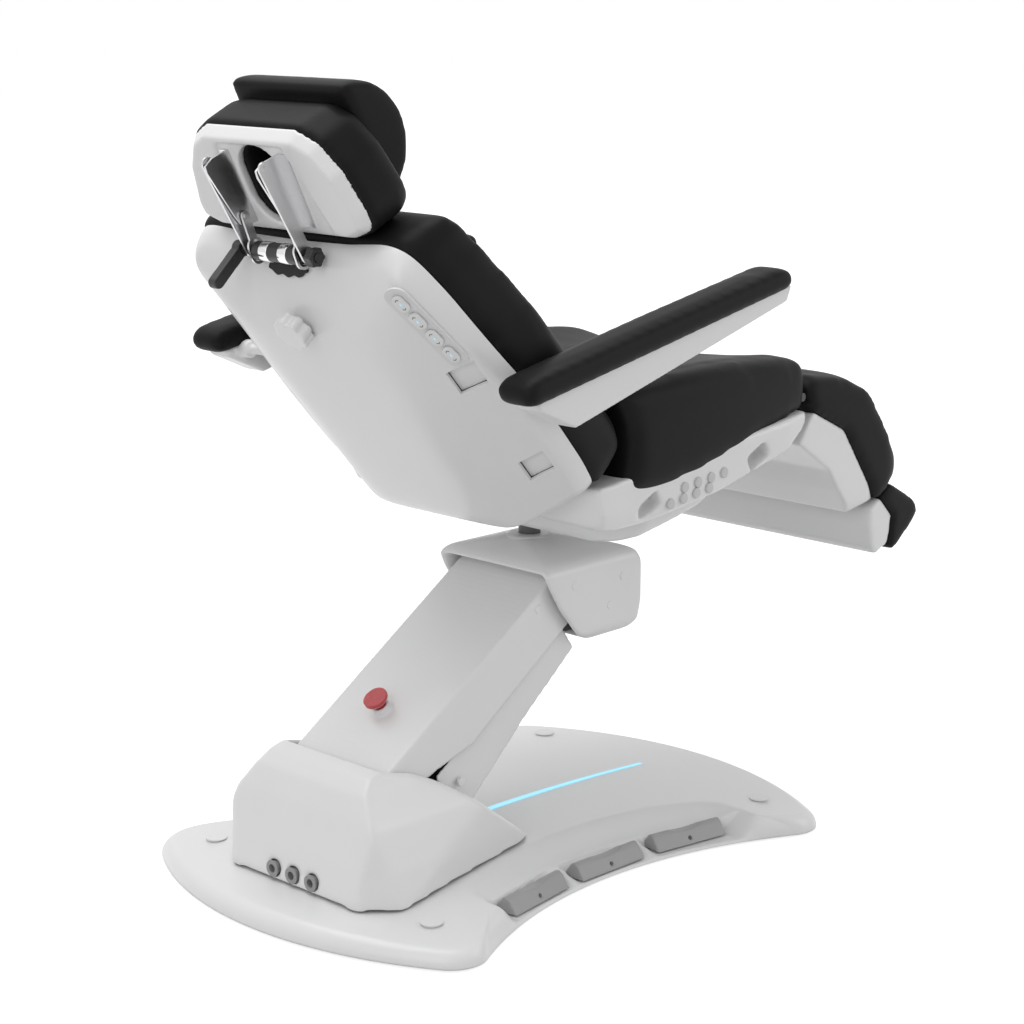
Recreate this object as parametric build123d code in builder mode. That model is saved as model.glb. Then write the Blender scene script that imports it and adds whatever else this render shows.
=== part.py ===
# Reclining treatment chair on a lifting column, sizes in millimetres
# +X is the foot end, +Y the sitter's left, +Z up; the origin is on the floor under the middle of the base
import os
from math import atan2, cos, degrees, hypot, radians, sin

from build123d import *

os.makedirs("parts", exist_ok=True)

# Fits and stock shared by every piece
gap = 0.4
running_gap = 0.1
seam_gap = 1.0
cover_wall = 4.0
plate = 6.0
overrun = 3.0

# Base
base_half_length = 524.0
base_waist = 253.0
base_corner_x = 402.0
base_corner_y = 371.0
base_corner_radius = 55.0
base_crown_height = 58.0
base_rim_height = 32.0
base_floor_gap = 5.0
cap_x = 379.5
cap_y = 250.0
cap_radius = 17.0

# Lifting column
lift_angle = 35.5
lift_length = 430.0
lift_pivot_x = -290.0
lift_pivot_z = 165.0
link_drop_x = 30.0
link_drop_z = 46.0
arm_half_width = 105.0
pin_radius = 8.0

# Column head and swivel
swivel_x = 82.0
head_half_width = 125.0
head_rear_x = -6.0
head_length = 225.0
head_bottom_z = 344.0
head_height = 141.0
collar_height = 22.0

# Seat
tilt_pivot_z = 600.0
seat_half_width = 285.0
seat_rear_x = -66.0
seat_front_x = 454.0
leg_pivot_x = 463.0
leg_pivot_z = 713.0

# Back: its seam plane starts at the seat's rear corner and leans back
back_origin_x = -66.0
back_origin_z = 649.0
back_lean = 41.4
back_length = 506.0
back_pivot_rise = 57.0

# Armrests
armrest_spacing = 343.0
armrest_length = 590.0
armrest_width = 64.0
armrest_angle = 11.5

# Headrest: its own plane starts at the shell's lower edge
headrest_x = -417.0
headrest_z = 1017.0
headrest_lean = 26.6
headrest_height = 185.0
headrest_half_width = 182.0
neck_x = -432.0
neck_z = 1004.0

# Leg rest and footrest
leg_slope = 54.0
leg_half_width = 265.0


def side(x, z, angle=0):
    """Side-view plane at a point, its local x turned up from +X by the angle."""
    turn = radians(angle)
    return Plane(origin=(x, 0, z), x_dir=(cos(turn), 0, sin(turn)), z_dir=(0, -1, 0))


def across(x, z, angle=0):
    """Cross plane at a point: local x is +Y, local y is a quarter turn up from the angle's direction."""
    turn = radians(angle)
    return Plane(origin=(x, 0, z), x_dir=(0, 1, 0), z_dir=(cos(turn), 0, sin(turn)))


def face(x, z, angle=0):
    """Face plane at a point: local x is -Y, local y runs along the angle's direction."""
    turn = radians(angle)
    return Plane(origin=(x, 0, z), x_dir=(0, -1, 0), z_dir=(-sin(turn), 0, cos(turn)))


def from_place(place, along, rear):
    """Side-view point of a leaning group, from its distances along and to the rear."""
    x, z, angle = place
    turn = radians(angle)
    return (x + along * cos(turn) - rear * sin(turn), z + along * sin(turn) + rear * cos(turn))


def spread(shares, length, height):
    """Outline points from shares of a length and a height."""
    return [(length * across, height * up) for across, up in shares]


def mirrored(points):
    """Both halves of an outline given by its right half, from top to bottom."""
    return points + [(-across, up) for across, up in reversed(points)]


def finish(item, name):
    """Name a finished piece and write it."""
    item.part.label = name
    export_step(item.part, f"parts/{name}.step")


def outline_block(plane, points, low, high, round_over=0, inset=0):
    """Closed outline on a plane, extruded from one offset to another."""
    with BuildPart() as block:
        with BuildSketch(plane.offset(low)) as drawn:
            with BuildLine():
                Polyline(*points, close=True)
            make_face()
            if round_over:
                fillet(drawn.vertices(), round_over)
            if inset:
                offset(amount=-inset, mode=Mode.REPLACE)
        extrude(amount=high - low)
    return block.part


def sculpted(place, views, reach, inset=0):
    """Solid common to a side, a cross and a face outline, each drawn in by an inset."""
    planes = (side(*place), across(*place), face(*place))
    with BuildPart() as body:
        add(outline_block(planes[0], views[0], -reach, reach, inset=inset))
        for plane, points in zip(planes[1:], views[1:]):
            add(outline_block(plane, points, -reach, reach, inset=inset), mode=Mode.INTERSECT)
    return body.part


def bar(start, end, half, low, high, bores=()):
    """Round-ended flat bar between two side-view points, bored where asked."""
    plane = side(start[0], start[1], degrees(atan2(end[1] - start[1], end[0] - start[0])))
    length = hypot(end[0] - start[0], end[1] - start[1])
    with BuildPart() as body:
        with BuildSketch(plane.offset(low)):
            with Locations((length / 2, 0)):
                SlotCenterToCenter(length, 2 * half)
            for place, radius in bores:
                with Locations((length * place, 0)):
                    Circle(radius, mode=Mode.SUBTRACT)
        extrude(amount=high - low)
    return body.part


def rod(start, end, radius, y):
    """Round bar between two side-view points, at a distance across."""
    run, rise = end[0] - start[0], end[1] - start[1]
    with BuildPart() as body:
        with BuildSketch(Plane(origin=(start[0], y, start[1]), x_dir=(0, 1, 0), z_dir=(run, 0, rise))):
            Circle(radius)
        extrude(amount=hypot(run, rise))
    return body.part


def box_cut(x_low, x_high, y_low, y_high, z_low, z_high):
    """Upright block between two corners, for openings."""
    with BuildPart() as block:
        with BuildSketch(Plane.XY.offset(z_low)):
            with Locations(((x_low + x_high) / 2, (y_low + y_high) / 2)):
                Rectangle(x_high - x_low, y_high - y_low)
        extrude(amount=z_high - z_low)
    return block.part


def leaning_cut(place, along_low, along_high, y_low, y_high, rear_low, rear_high):
    """Block in a leaning group's own directions, for openings."""
    with BuildPart() as block:
        with BuildSketch(side(*place).offset(-y_high)):
            with Locations(((along_low + along_high) / 2, (rear_low + rear_high) / 2)):
                Rectangle(along_high - along_low, rear_high - rear_low)
        extrude(amount=y_high - y_low)
    return block.part


def pins(plane, places, radius, low, high):
    """Round bars at places on a plane, from one offset to another."""
    with BuildPart() as bars:
        with BuildSketch(plane.offset(low)):
            with Locations(*places):
                Circle(radius)
        extrude(amount=high - low)
    return bars.part


# Base cover: waisted, domed shell with rounded corners
dome_radius = (base_half_length**2) / (2 * (base_crown_height - base_rim_height))


def base_outline(inset):
    """Waisted outline of the base, drawn in by an inset."""
    corner_x = base_corner_x - inset
    corner_y = base_corner_y - inset
    waist = base_waist - inset
    half_length = base_half_length - inset
    with BuildSketch() as drawn:
        with BuildLine():
            for turn in (1, -1):
                low_corner = (turn * corner_x, -turn * corner_y)
                ThreePointArc((-turn * corner_x, -turn * corner_y), (0, -turn * waist), low_corner)
                ThreePointArc(low_corner, (turn * half_length, 0), (turn * corner_x, turn * corner_y))
        make_face()
        fillet(drawn.vertices(), base_corner_radius)
    return drawn.sketch


def lens(top, low):
    """Wide block with the base's domed top, reaching past its corners."""
    reach = base_half_length + base_corner_radius
    with BuildPart() as block:
        with BuildSketch(Plane.XY.offset(low)):
            Rectangle(2 * reach, 2 * reach)
        extrude(amount=top - low)
        with Locations((0, 0, top - dome_radius)):
            Sphere(dome_radius, rotation=(90, 0, 0), mode=Mode.INTERSECT)
    return block.part


def dome(inset, low):
    """Domed block under the base's top surface, drawn in by an inset."""
    top = base_crown_height - inset
    with BuildPart() as block:
        with BuildSketch(Plane.XY.offset(low)):
            add(base_outline(inset))
        extrude(amount=top - low)
        add(lens(top, low - overrun), mode=Mode.INTERSECT)
    return block.part


# Pedals stand in pockets along the near waist, each turned to follow it
pedal_length = 143.0
pedal_depth = 45.0
pedal_height = 25.0
pedal_floor_z = 8.0
pedal_drop = 4.0
pedal_row_x = 19.0
pedal_pitch = 174.5
pedal_turn = 9.4
pedal_front_y = 250.0
pedal_step_y = 12.5
pedal_margin = 2.0
pedal_bottom_z = pedal_floor_z + pedal_drop


def pedal_plane(place, height=0):
    """Plane at the middle of a pedal's front lower edge: local x along it, local y to the chair's middle."""
    turn = radians(-pedal_turn * place)
    drop = pedal_step_y * abs(place)
    origin = (pedal_row_x + pedal_pitch * place, -pedal_front_y - drop, height)
    return Plane(origin=origin, x_dir=(cos(turn), sin(turn), 0), z_dir=(0, 0, 1))


bay_reach = 90.0
bay_wall_z = 30.0
bay_slope = 60.0


def pedal_bay(place, grow):
    """Cut round a pedal, grown by a margin: level under and before it, then rising behind it to the crown."""
    inner = pedal_pitch / 2 + 3 * pedal_margin
    outer = pedal_length / 2 + 2 * pedal_margin
    low = -grow - (outer if place < 0 else inner)
    high = grow + (outer if place > 0 else inner)
    back = pedal_depth + pedal_margin + grow
    points = (
        (-bay_reach, pedal_floor_z - grow), (back, pedal_floor_z - grow), (back, bay_wall_z - grow),
        (back + bay_slope, base_crown_height - grow), (back + bay_slope, 2 * base_crown_height),
        (-bay_reach, 2 * base_crown_height),
    )
    flat = pedal_plane(place)
    return outline_block(Plane(origin=flat.origin, x_dir=flat.y_dir, z_dir=flat.x_dir), points, low, high)


pivot_hole_length = 172.0
pivot_hole_half_width = 92.0
with BuildPart() as base_hollow:
    add(dome(cover_wall, base_floor_gap - overrun))
    for place in (-1, 0, 1):
        add(pedal_bay(place, cover_wall), mode=Mode.SUBTRACT)
with BuildPart() as base_cover:
    add(dome(0, base_floor_gap))
    add(base_hollow.part, mode=Mode.SUBTRACT)
    for place in (-1, 0, 1):
        add(pedal_bay(place, 0), mode=Mode.SUBTRACT)
    with BuildSketch(Plane.XY):
        with Locations((lift_pivot_x, 0)):
            Rectangle(pivot_hole_length, 2 * pivot_hole_half_width)
        with GridLocations(2 * cap_x, 2 * cap_y, 2, 2):
            Circle(cap_radius - cover_wall)
    extrude(amount=base_crown_height + overrun, mode=Mode.SUBTRACT)
finish(base_cover, "base_cover")

# Base frame: steel plate on five feet, with the cheeks that carry the lift pivots
frame_plate_z = 16.0
frame_half_length = 410.0
frame_half_width = 180.0
foot_pad_radius = 22.0
foot_pad_height = 9.0
foot_stem_radius = 6.0
cheek_y = 80.0
cheek_width = 110.0
frame_arm = 70.0
link_pivot_x = lift_pivot_x + link_drop_x
link_pivot_z = lift_pivot_z - link_drop_z
eye_radius = 22.0
frame_top_z = frame_plate_z + plate
foot_places = [(0, 0)] + [(end * cap_x, hand * cap_y) for end in (-1, 1) for hand in (-1, 1)]
lift_places = ((lift_pivot_x, lift_pivot_z), (link_pivot_x, link_pivot_z))
cheek_points = (
    (lift_pivot_x - cheek_width / 2, frame_top_z),
    (link_pivot_x + cheek_width / 2, frame_top_z),
    (link_pivot_x + eye_radius, link_pivot_z),
    (lift_pivot_x + eye_radius, lift_pivot_z + eye_radius),
    (lift_pivot_x - eye_radius, lift_pivot_z + eye_radius),
)
with BuildPart() as base_frame:
    with BuildSketch(Plane.XY.offset(frame_plate_z)):
        Rectangle(2 * frame_half_length, 2 * frame_half_width)
        for end in (-1, 1):
            with Locations((end * cap_x, 0)):
                Rectangle(frame_arm, 2 * (cap_y + foot_pad_radius))
        with Locations(*foot_places):
            Circle(foot_stem_radius + running_gap, mode=Mode.SUBTRACT)
    extrude(amount=plate)
    for hand in (-1, 1):
        add(outline_block(side(0, 0), cheek_points, hand * cheek_y - plate / 2, hand * cheek_y + plate / 2))
    add(pins(side(0, 0), lift_places, pin_radius, -cheek_y - plate, cheek_y + plate))
finish(base_frame, "base_frame")

with BuildPart() as levelling_feet:
    with Locations(*foot_places):
        Cylinder(foot_pad_radius, foot_pad_height, align=(Align.CENTER, Align.CENTER, Align.MIN))
        Cylinder(foot_stem_radius, frame_top_z, align=(Align.CENTER, Align.CENTER, Align.MIN))
finish(levelling_feet, "levelling_feet")


def dome_height(x, y):
    """Height of the base's top surface at a place."""
    return base_crown_height - dome_radius + (dome_radius**2 - x**2 - y**2) ** 0.5


cap_thickness = 1.6
cap_base_z = dome_height(cap_x - cap_radius, cap_y - cap_radius) + gap
with BuildPart() as access_caps:
    with BuildSketch(Plane.XY.offset(cap_base_z)):
        with GridLocations(2 * cap_x, 2 * cap_y, 2, 2):
            Circle(cap_radius)
    extrude(amount=cap_thickness)
    with BuildSketch(Plane.XY.offset(cap_base_z)):
        with GridLocations(2 * cap_x, 2 * cap_y, 2, 2):
            Circle(cap_radius - cover_wall - running_gap)
            Circle(cap_radius - 2 * cover_wall, mode=Mode.SUBTRACT)
    extrude(amount=-cap_radius / 2)
finish(access_caps, "access_caps")

# Light strip let into the crown, narrowing towards the foot end
strip_start_x = -40.0
strip_length = 402.0
strip_width = 12.0
strip_end_share = 0.5
with BuildPart() as light_strip:
    with BuildSketch(Plane.XY):
        with BuildLine():
            Polyline(
                (strip_start_x, -strip_width / 2),
                (strip_start_x + strip_length, -strip_width * strip_end_share / 2),
                (strip_start_x + strip_length, strip_width * strip_end_share / 2),
                (strip_start_x, strip_width / 2),
                close=True,
            )
        make_face()
    extrude(amount=base_crown_height + cap_thickness)
    add(lens(base_crown_height + cap_thickness, -overrun), mode=Mode.INTERSECT)
    add(lens(base_crown_height + running_gap, -overrun), mode=Mode.SUBTRACT)
finish(light_strip, "light_strip")

# Column boot: rounded rear, chamfered corners and two wings that fall to the front
boot_length = 419.0
boot_height = 233.0
boot_rear_x = -434.0
boot_half_width = 196.0
boot_slot_x = -348.0
boot_slot_half_width = 108.0
boot_socket_z = 60.0
boot_socket_pitch = 44.0
boot_socket_radius = 11.0
boot_side_shares = (
    (0.0, 0.0), (0.0, 0.2), (0.02, 0.45), (0.055, 0.72), (0.09, 0.88), (0.14, 0.965), (0.2, 1.0),
    (0.27, 0.965), (0.34, 0.93), (0.44, 0.845), (0.54, 0.73), (0.665, 0.565), (0.905, 0.255), (1.0, 0.13),
    (1.0, 0.0),
)
boot_plan_shares = ((0.0, 0.725), (0.117, 1.0), (0.823, 0.755), (1.0, 0.571))
boot_front_shares = ((1.0, 0.0), (1.0, 0.13), (0.93, 0.4), (0.8, 0.7), (0.63, 0.9), (0.585, 1.0))


def boot_body(inset):
    """Boot block common to its side, plan and front outlines, drawn in by an inset."""
    length = boot_length - 2 * inset
    half = boot_half_width - inset
    height = boot_height - inset
    start = boot_rear_x + inset
    side_points = [(start + x, z) for x, z in spread(boot_side_shares, length, height)]
    plan_half = [(start + x, y) for x, y in spread(boot_plan_shares, length, half)]
    plan_points = plan_half + [(x, -y) for x, y in reversed(plan_half)]
    front_half = spread(boot_front_shares, half, height)
    with BuildPart() as body:
        add(outline_block(side(0, 0), side_points, -boot_half_width, boot_half_width))
        add(outline_block(Plane.XY, plan_points, 0, boot_height), mode=Mode.INTERSECT)
        add(outline_block(Plane.YZ, mirrored(front_half), boot_rear_x, 0), mode=Mode.INTERSECT)
    return body.part


with BuildPart() as column_boot:
    add(boot_body(0))
    add(boot_body(cover_wall), mode=Mode.SUBTRACT)
    for hand in (-1, 1):
        wall_points = [(boot_rear_x + x, z) for x, z in spread(boot_side_shares, boot_length, boot_height)]
        low = hand * (boot_slot_half_width + cover_wall / 2) - cover_wall / 2
        add(outline_block(side(0, 0), wall_points, low, low + cover_wall))
    add(boot_body(0), mode=Mode.INTERSECT)
    with BuildSketch(Plane.XY):
        with Locations((boot_slot_x, 0)):
            Rectangle(boot_length, 2 * boot_slot_half_width, align=(Align.MIN, Align.CENTER))
    extrude(amount=boot_height + overrun, mode=Mode.SUBTRACT)
    add(lens(base_crown_height + running_gap, -overrun), mode=Mode.SUBTRACT)
    with BuildSketch(Plane.YZ.offset(boot_rear_x - overrun)):
        with Locations(*[(boot_socket_pitch * step, boot_socket_z) for step in (-1, 0, 1)]):
            Circle(boot_socket_radius)
    extrude(amount=3 * cover_wall, mode=Mode.SUBTRACT)
finish(column_boot, "column_boot")

# Sockets at the rear: a mains inlet and two control sockets
socket_flange = 2.0
socket_depth = 18.0
socket_bore_share = 0.62
with BuildPart() as rear_sockets:
    with BuildSketch(Plane.YZ.offset(boot_rear_x - socket_flange)):
        with Locations(*[(boot_socket_pitch * step, boot_socket_z) for step in (-1, 0, 1)]):
            Circle(boot_socket_radius + socket_flange)
    extrude(amount=socket_flange - running_gap)
    with BuildSketch(Plane.YZ.offset(boot_rear_x - socket_flange)):
        with Locations(*[(boot_socket_pitch * step, boot_socket_z) for step in (-1, 0, 1)]):
            Circle(boot_socket_radius - gap)
    extrude(amount=socket_depth)
    with BuildSketch(Plane.YZ.offset(boot_rear_x - socket_flange)):
        with Locations(*[(boot_socket_pitch * step, boot_socket_z) for step in (-1, 0, 1)]):
            Circle(boot_socket_radius * socket_bore_share)
    extrude(amount=socket_depth - socket_flange, mode=Mode.SUBTRACT)
finish(rear_sockets, "rear_sockets")

# Pedals: saddle-topped bars that rock on a pin through their middle
pedal_pin_radius = 3.0
pedal_pin_rise = 8.0
pedal_lug = 6.0
pedal_slot_gap = 1.5
pedal_saddle = 5.0
pedal_end_shares = ((0.0, 0.0), (1.0, 0.0), (0.62, 0.9), (0.5, 1.0), (0.4, 0.97), (0.3, 0.8))
pedal_pin_z = pedal_bottom_z + pedal_pin_rise
for place, name in ((-1, "pedal_rear"), (0, "pedal_middle"), (1, "pedal_front")):
    flat = pedal_plane(place, pedal_bottom_z)
    end_view = Plane(origin=flat.origin, x_dir=flat.y_dir, z_dir=flat.x_dir)
    crown = Plane(origin=flat.origin, x_dir=flat.x_dir, z_dir=-flat.y_dir)
    with BuildPart() as pedal:
        end_points = spread(pedal_end_shares, pedal_depth, pedal_height)
        add(outline_block(end_view, end_points, -pedal_length / 2, pedal_length / 2))
        with BuildSketch(crown.offset(-pedal_depth - overrun)):
            with BuildLine():
                top = pedal_height + overrun
                edge = pedal_length / 2 - pedal_height
                ThreePointArc((-edge, top), (0, pedal_height - pedal_saddle), (edge, top))
                Line((edge, top), (-edge, top))
            make_face()
        extrude(amount=pedal_depth + 2 * overrun, mode=Mode.SUBTRACT)
        with BuildSketch(flat):
            with Locations((0, pedal_depth / 2)):
                Rectangle(2 * (pedal_pin_rise + pedal_slot_gap), pedal_lug + 2 * pedal_slot_gap)
        extrude(amount=pedal_pin_rise + pedal_pin_radius + 2 * pedal_slot_gap, mode=Mode.SUBTRACT)
        add(
            pins(crown, ((0, pedal_pin_rise),), pedal_pin_radius + running_gap, -pedal_depth - overrun, overrun),
            mode=Mode.SUBTRACT,
        )
    finish(pedal, name)

# Pedal pivots: a lug on a foot under each pedal, holding the pin
with BuildPart() as pedal_pivots:
    for place in (-1, 0, 1):
        flat = pedal_plane(place, pedal_floor_z + running_gap)
        crown = Plane(origin=flat.origin, x_dir=flat.x_dir, z_dir=-flat.y_dir)
        pin_z = pedal_pin_z - pedal_floor_z - running_gap
        with BuildSketch(flat):
            with Locations((0, pedal_depth / 2)):
                Rectangle(2 * pedal_pin_rise, pedal_lug)
        extrude(amount=pin_z)
        add(pins(crown, ((0, pin_z),), pedal_pin_radius, -pedal_depth + pedal_lug, -pedal_lug))
finish(pedal_pivots, "pedal_pivots")

# Lift arm: plastic cover, open below and at its ends, over two steel bars
arm_plane = side(lift_pivot_x, lift_pivot_z, lift_angle)
arm_rear_radius = 69.0
arm_front_radius = 56.0
arm_seam = 32.0
arm_open_height = 24.0
arm_curl_x = 70.0
arm_curl_drop = 6.0
arm_seam_x = 150.0
arm_cover_wall = 3.0
bar_thickness = 8.0
arm_bar_y = 66.0
arm_bar_half = 20.0


def end_point(radius, height, toward):
    """Point at a height on a circle about the origin, on the side asked for."""
    return (toward * (radius**2 - height**2) ** 0.5, height)


def between(first, last, middle_x, radius):
    """Circle point midway in angle between two points of an arc about (middle_x, 0)."""
    start = atan2(first[1], first[0] - middle_x)
    turn = (start + atan2(last[1], last[0] - middle_x)) / 2
    return (middle_x + radius * cos(turn), radius * sin(turn))


def arm_profile(inset):
    """Side outline of the arm cover, drawn in by an inset."""
    rear = arm_rear_radius - inset
    front = arm_front_radius - inset
    rear_end = end_point(rear, arm_open_height, -1)
    front_end = (lift_length + (front**2 - arm_open_height**2) ** 0.5, arm_open_height)
    with BuildSketch() as drawn:
        with BuildLine():
            ThreePointArc((0, rear), between((0, rear), rear_end, 0, rear), rear_end)
            Polyline(
                rear_end,
                (arm_curl_x, -arm_curl_drop),
                (arm_seam_x, -arm_seam),
                (lift_length, -arm_seam),
                front_end,
            )
            ThreePointArc(front_end, between(front_end, (lift_length, front), lift_length, front), (lift_length, front))
            Line((lift_length, front), (0, rear))
        make_face()
    return drawn.sketch


# Emergency stop on top of the arm: a collar moulded on the cover and a mushroom head that presses in
stop_along = 105.0
stop_collar_radius = 15.0
stop_collar_height = 12.0
stop_head_radius = 20.0
stop_head_height = 12.0
stop_stem_radius = 9.0
stop_travel = 5.0
arm_taper = (arm_rear_radius - arm_front_radius) / lift_length
stop_seat = arm_rear_radius - arm_taper * (stop_along - stop_collar_radius)
stop_plane = Plane(
    origin=arm_plane.from_local_coords((stop_along, stop_seat + gap, 0)),
    x_dir=arm_plane.z_dir,
    z_dir=arm_plane.y_dir,
)
with BuildPart() as arm_cover:
    with BuildSketch(arm_plane):
        add(arm_profile(0))
    extrude(amount=arm_half_width, both=True)
    with BuildSketch(arm_plane):
        add(arm_profile(arm_cover_wall))
        with Locations((lift_length / 2, arm_open_height)):
            Rectangle(2 * lift_length, 2 * arm_rear_radius, align=(Align.CENTER, Align.MAX))
    extrude(amount=arm_half_width - arm_cover_wall, both=True, mode=Mode.SUBTRACT)
    with BuildSketch(stop_plane.offset(-arm_cover_wall)):
        Circle(stop_collar_radius)
    extrude(amount=arm_cover_wall + stop_collar_height)
    with BuildSketch(stop_plane):
        Circle(stop_stem_radius + gap)
    extrude(amount=stop_collar_height + overrun, mode=Mode.SUBTRACT)
finish(arm_cover, "arm_cover")

stop_head_low = stop_collar_height + stop_travel + gap
with BuildPart() as stop_button:
    with BuildSketch(stop_plane.offset(stop_travel + gap)):
        Circle(stop_stem_radius)
    extrude(amount=stop_collar_height + gap)
    with BuildSketch(stop_plane.offset(stop_head_low)):
        Circle(stop_collar_radius)
    with BuildSketch(stop_plane.offset(stop_head_low + stop_head_height / 2)):
        Circle(stop_head_radius)
    loft()
    with BuildSketch(stop_plane.offset(stop_head_low + stop_head_height / 2)):
        Circle(stop_head_radius)
    extrude(amount=stop_head_height / 2)
finish(stop_button, "stop_button")


def link_bar(plane, length, half_height, low, high):
    """Flat bar with a round eye and a pin bore at each end."""
    with BuildPart() as bar:
        with BuildSketch(plane.offset(low)):
            with Locations((length / 2, 0)):
                SlotCenterToCenter(length, 2 * half_height)
            with Locations((0, 0), (length, 0)):
                Circle(pin_radius + running_gap, mode=Mode.SUBTRACT)
        extrude(amount=high - low)
    return bar.part


arm_tube_radius = 8.0
arm_tube_lift = 14.0
arm_tube_shares = (0.3, 0.75)
with BuildPart() as arm_frame:
    for hand in (-1, 1):
        middle = hand * arm_bar_y
        add(link_bar(arm_plane, lift_length, arm_bar_half, middle - bar_thickness / 2, middle + bar_thickness / 2))
    tube_places = [(lift_length * share, arm_tube_lift) for share in arm_tube_shares]
    reach = arm_half_width - arm_cover_wall - running_gap
    add(pins(arm_plane, tube_places, arm_tube_radius, -reach, reach))
finish(arm_frame, "arm_frame")

# Lower link: two bars and a trough cover whose sides slide inside the arm cover
link_plane = side(link_pivot_x, link_pivot_z, lift_angle)
link_half_width = 98.0
link_bar_y = 50.0
link_bar_half = 14.0
link_tube_radius = 6.0
link_tube_shares = (0.35, 0.8)
link_cover_depth = 60.0
link_cover_shares = (
    (0.105, -0.833), (0.226, -0.95), (0.616, -0.583), (0.942, -0.417), (0.942, 0.5), (0.163, 0.6),
)
link_cover_points = spread(link_cover_shares, lift_length, link_cover_depth)
with BuildPart() as link_cover:
    add(outline_block(link_plane, link_cover_points, -link_half_width, link_half_width))
    inside = [(x, z + arm_cover_wall) for x, z in link_cover_points]
    inside[0] = (inside[0][0] - overrun - link_pivot_z, inside[0][1])
    inside[3] = (inside[3][0] + overrun, inside[3][1])
    inside[4] = (inside[4][0] + overrun, inside[4][1] + overrun)
    inside[5] = (inside[5][0] - overrun - link_pivot_z, inside[5][1] + overrun)
    add(
        outline_block(link_plane, inside, arm_cover_wall - link_half_width, link_half_width - arm_cover_wall),
        mode=Mode.SUBTRACT,
    )
finish(link_cover, "link_cover")

with BuildPart() as link_bars:
    for hand in (-1, 1):
        middle = hand * link_bar_y
        add(link_bar(link_plane, lift_length, link_bar_half, middle - bar_thickness / 2, middle + bar_thickness / 2))
    tube_places = [(lift_length * share, -link_bar_half) for share in link_tube_shares]
    reach = link_half_width - arm_cover_wall - running_gap
    add(pins(link_plane, tube_places, link_tube_radius, -reach, reach))
finish(link_bars, "link_bars")


eye_wall = 4.0


def actuator(name, start, end, level, radius, tube_length, rod_length, play, pin):
    """Electric actuator: a motor tube on one pin, and a rod whose eye loosely rings the other."""
    along = side(start[0], start[1], degrees(atan2(end[1] - start[1], end[0] - start[0])))
    reach = hypot(end[0] - start[0], end[1] - start[1])
    rod_radius = radius / 2
    eye = pin + plate
    nose = Plane(origin=along.from_local_coords((0, 0, level)), x_dir=along.y_dir, z_dir=along.x_dir)
    with BuildPart() as tube:
        with BuildSketch(nose.offset(eye - plate / 2)):
            Circle(radius)
        extrude(amount=tube_length - eye + plate / 2)
        with BuildSketch(along.offset(level - radius / 2)):
            Circle(eye)
        extrude(amount=radius)
        with BuildSketch(along.offset(level - radius)):
            Circle(pin + running_gap)
        extrude(amount=2 * radius, mode=Mode.SUBTRACT)
        with BuildSketch(nose.offset(eye + plate / 2)):
            Circle(rod_radius + gap)
        extrude(amount=tube_length, mode=Mode.SUBTRACT)
    finish(tube, f"{name}_actuator")
    rod_eye = pin + play + eye_wall
    with BuildPart() as rod:
        with BuildSketch(nose.offset(reach - rod_length)):
            Circle(rod_radius)
        extrude(amount=rod_length - rod_eye + plate / 2)
        with BuildSketch(along.offset(level - radius / 2)):
            with Locations((reach, 0)):
                Circle(rod_eye)
        extrude(amount=radius)
        with BuildSketch(along.offset(level - radius)):
            with Locations((reach, 0)):
                Circle(pin + play)
        extrude(amount=2 * radius, mode=Mode.SUBTRACT)
    finish(rod, f"{name}_rod")


# Lift actuator runs across the link from the lower base pin to the upper head pin
arm_top = (
    lift_pivot_x + lift_length * cos(radians(lift_angle)),
    lift_pivot_z + lift_length * sin(radians(lift_angle)),
)
link_top = (arm_top[0] + link_drop_x, arm_top[1] - link_drop_z)
lift_tube_radius = 18.0
lift_tube_length = 330.0
lift_rod_length = 370.0
lift_play = 5.0
actuator(
    "lift", (link_pivot_x, link_pivot_z), arm_top, 0, lift_tube_radius, lift_tube_length, lift_rod_length,
    lift_play, pin_radius,
)

# Column head: rounded cap, open below and behind for the arm, with a collar for the swivel
head_corner = 24.0
head_opening_x = 100.0
collar_radius = 52.0
collar_top_radius = 32.0
head_side_shares = (
    (0.0, 0.9), (0.05, 0.98), (0.12, 1.0), (0.9, 1.0), (0.965, 0.95), (1.0, 0.82), (1.0, 0.33), (0.965, 0.12),
    (0.89, 0.03), (0.48, 0.0), (0.41, 0.03), (0.33, 0.12), (0.16, 0.44), (0.045, 0.74),
)
head_points = [(head_rear_x + x, head_bottom_z + z) for x, z in spread(head_side_shares, head_length, head_height)]
head_top_z = head_bottom_z + head_height
with BuildPart() as head_hollow:
    with BuildSketch(side(0, 0)):
        with BuildLine():
            Polyline(*head_points, close=True)
        make_face()
        offset(amount=-cover_wall, mode=Mode.REPLACE)
        with BuildLine():
            Polyline(
                (head_rear_x - overrun, head_top_z - 3 * cover_wall),
                (head_opening_x, head_top_z - 3 * cover_wall),
                (head_opening_x, head_bottom_z - overrun),
                (head_rear_x - overrun, head_bottom_z - overrun),
                close=True,
            )
        make_face()
    extrude(amount=head_half_width, both=True)
    with BuildSketch(Plane.YZ.offset(head_rear_x - 2 * overrun)):
        with Locations((0, head_bottom_z - cover_wall)):
            RectangleRounded(2 * (head_half_width - cover_wall), 2 * head_height, head_corner - cover_wall)
    extrude(amount=head_length + 4 * overrun, mode=Mode.INTERSECT)
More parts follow.
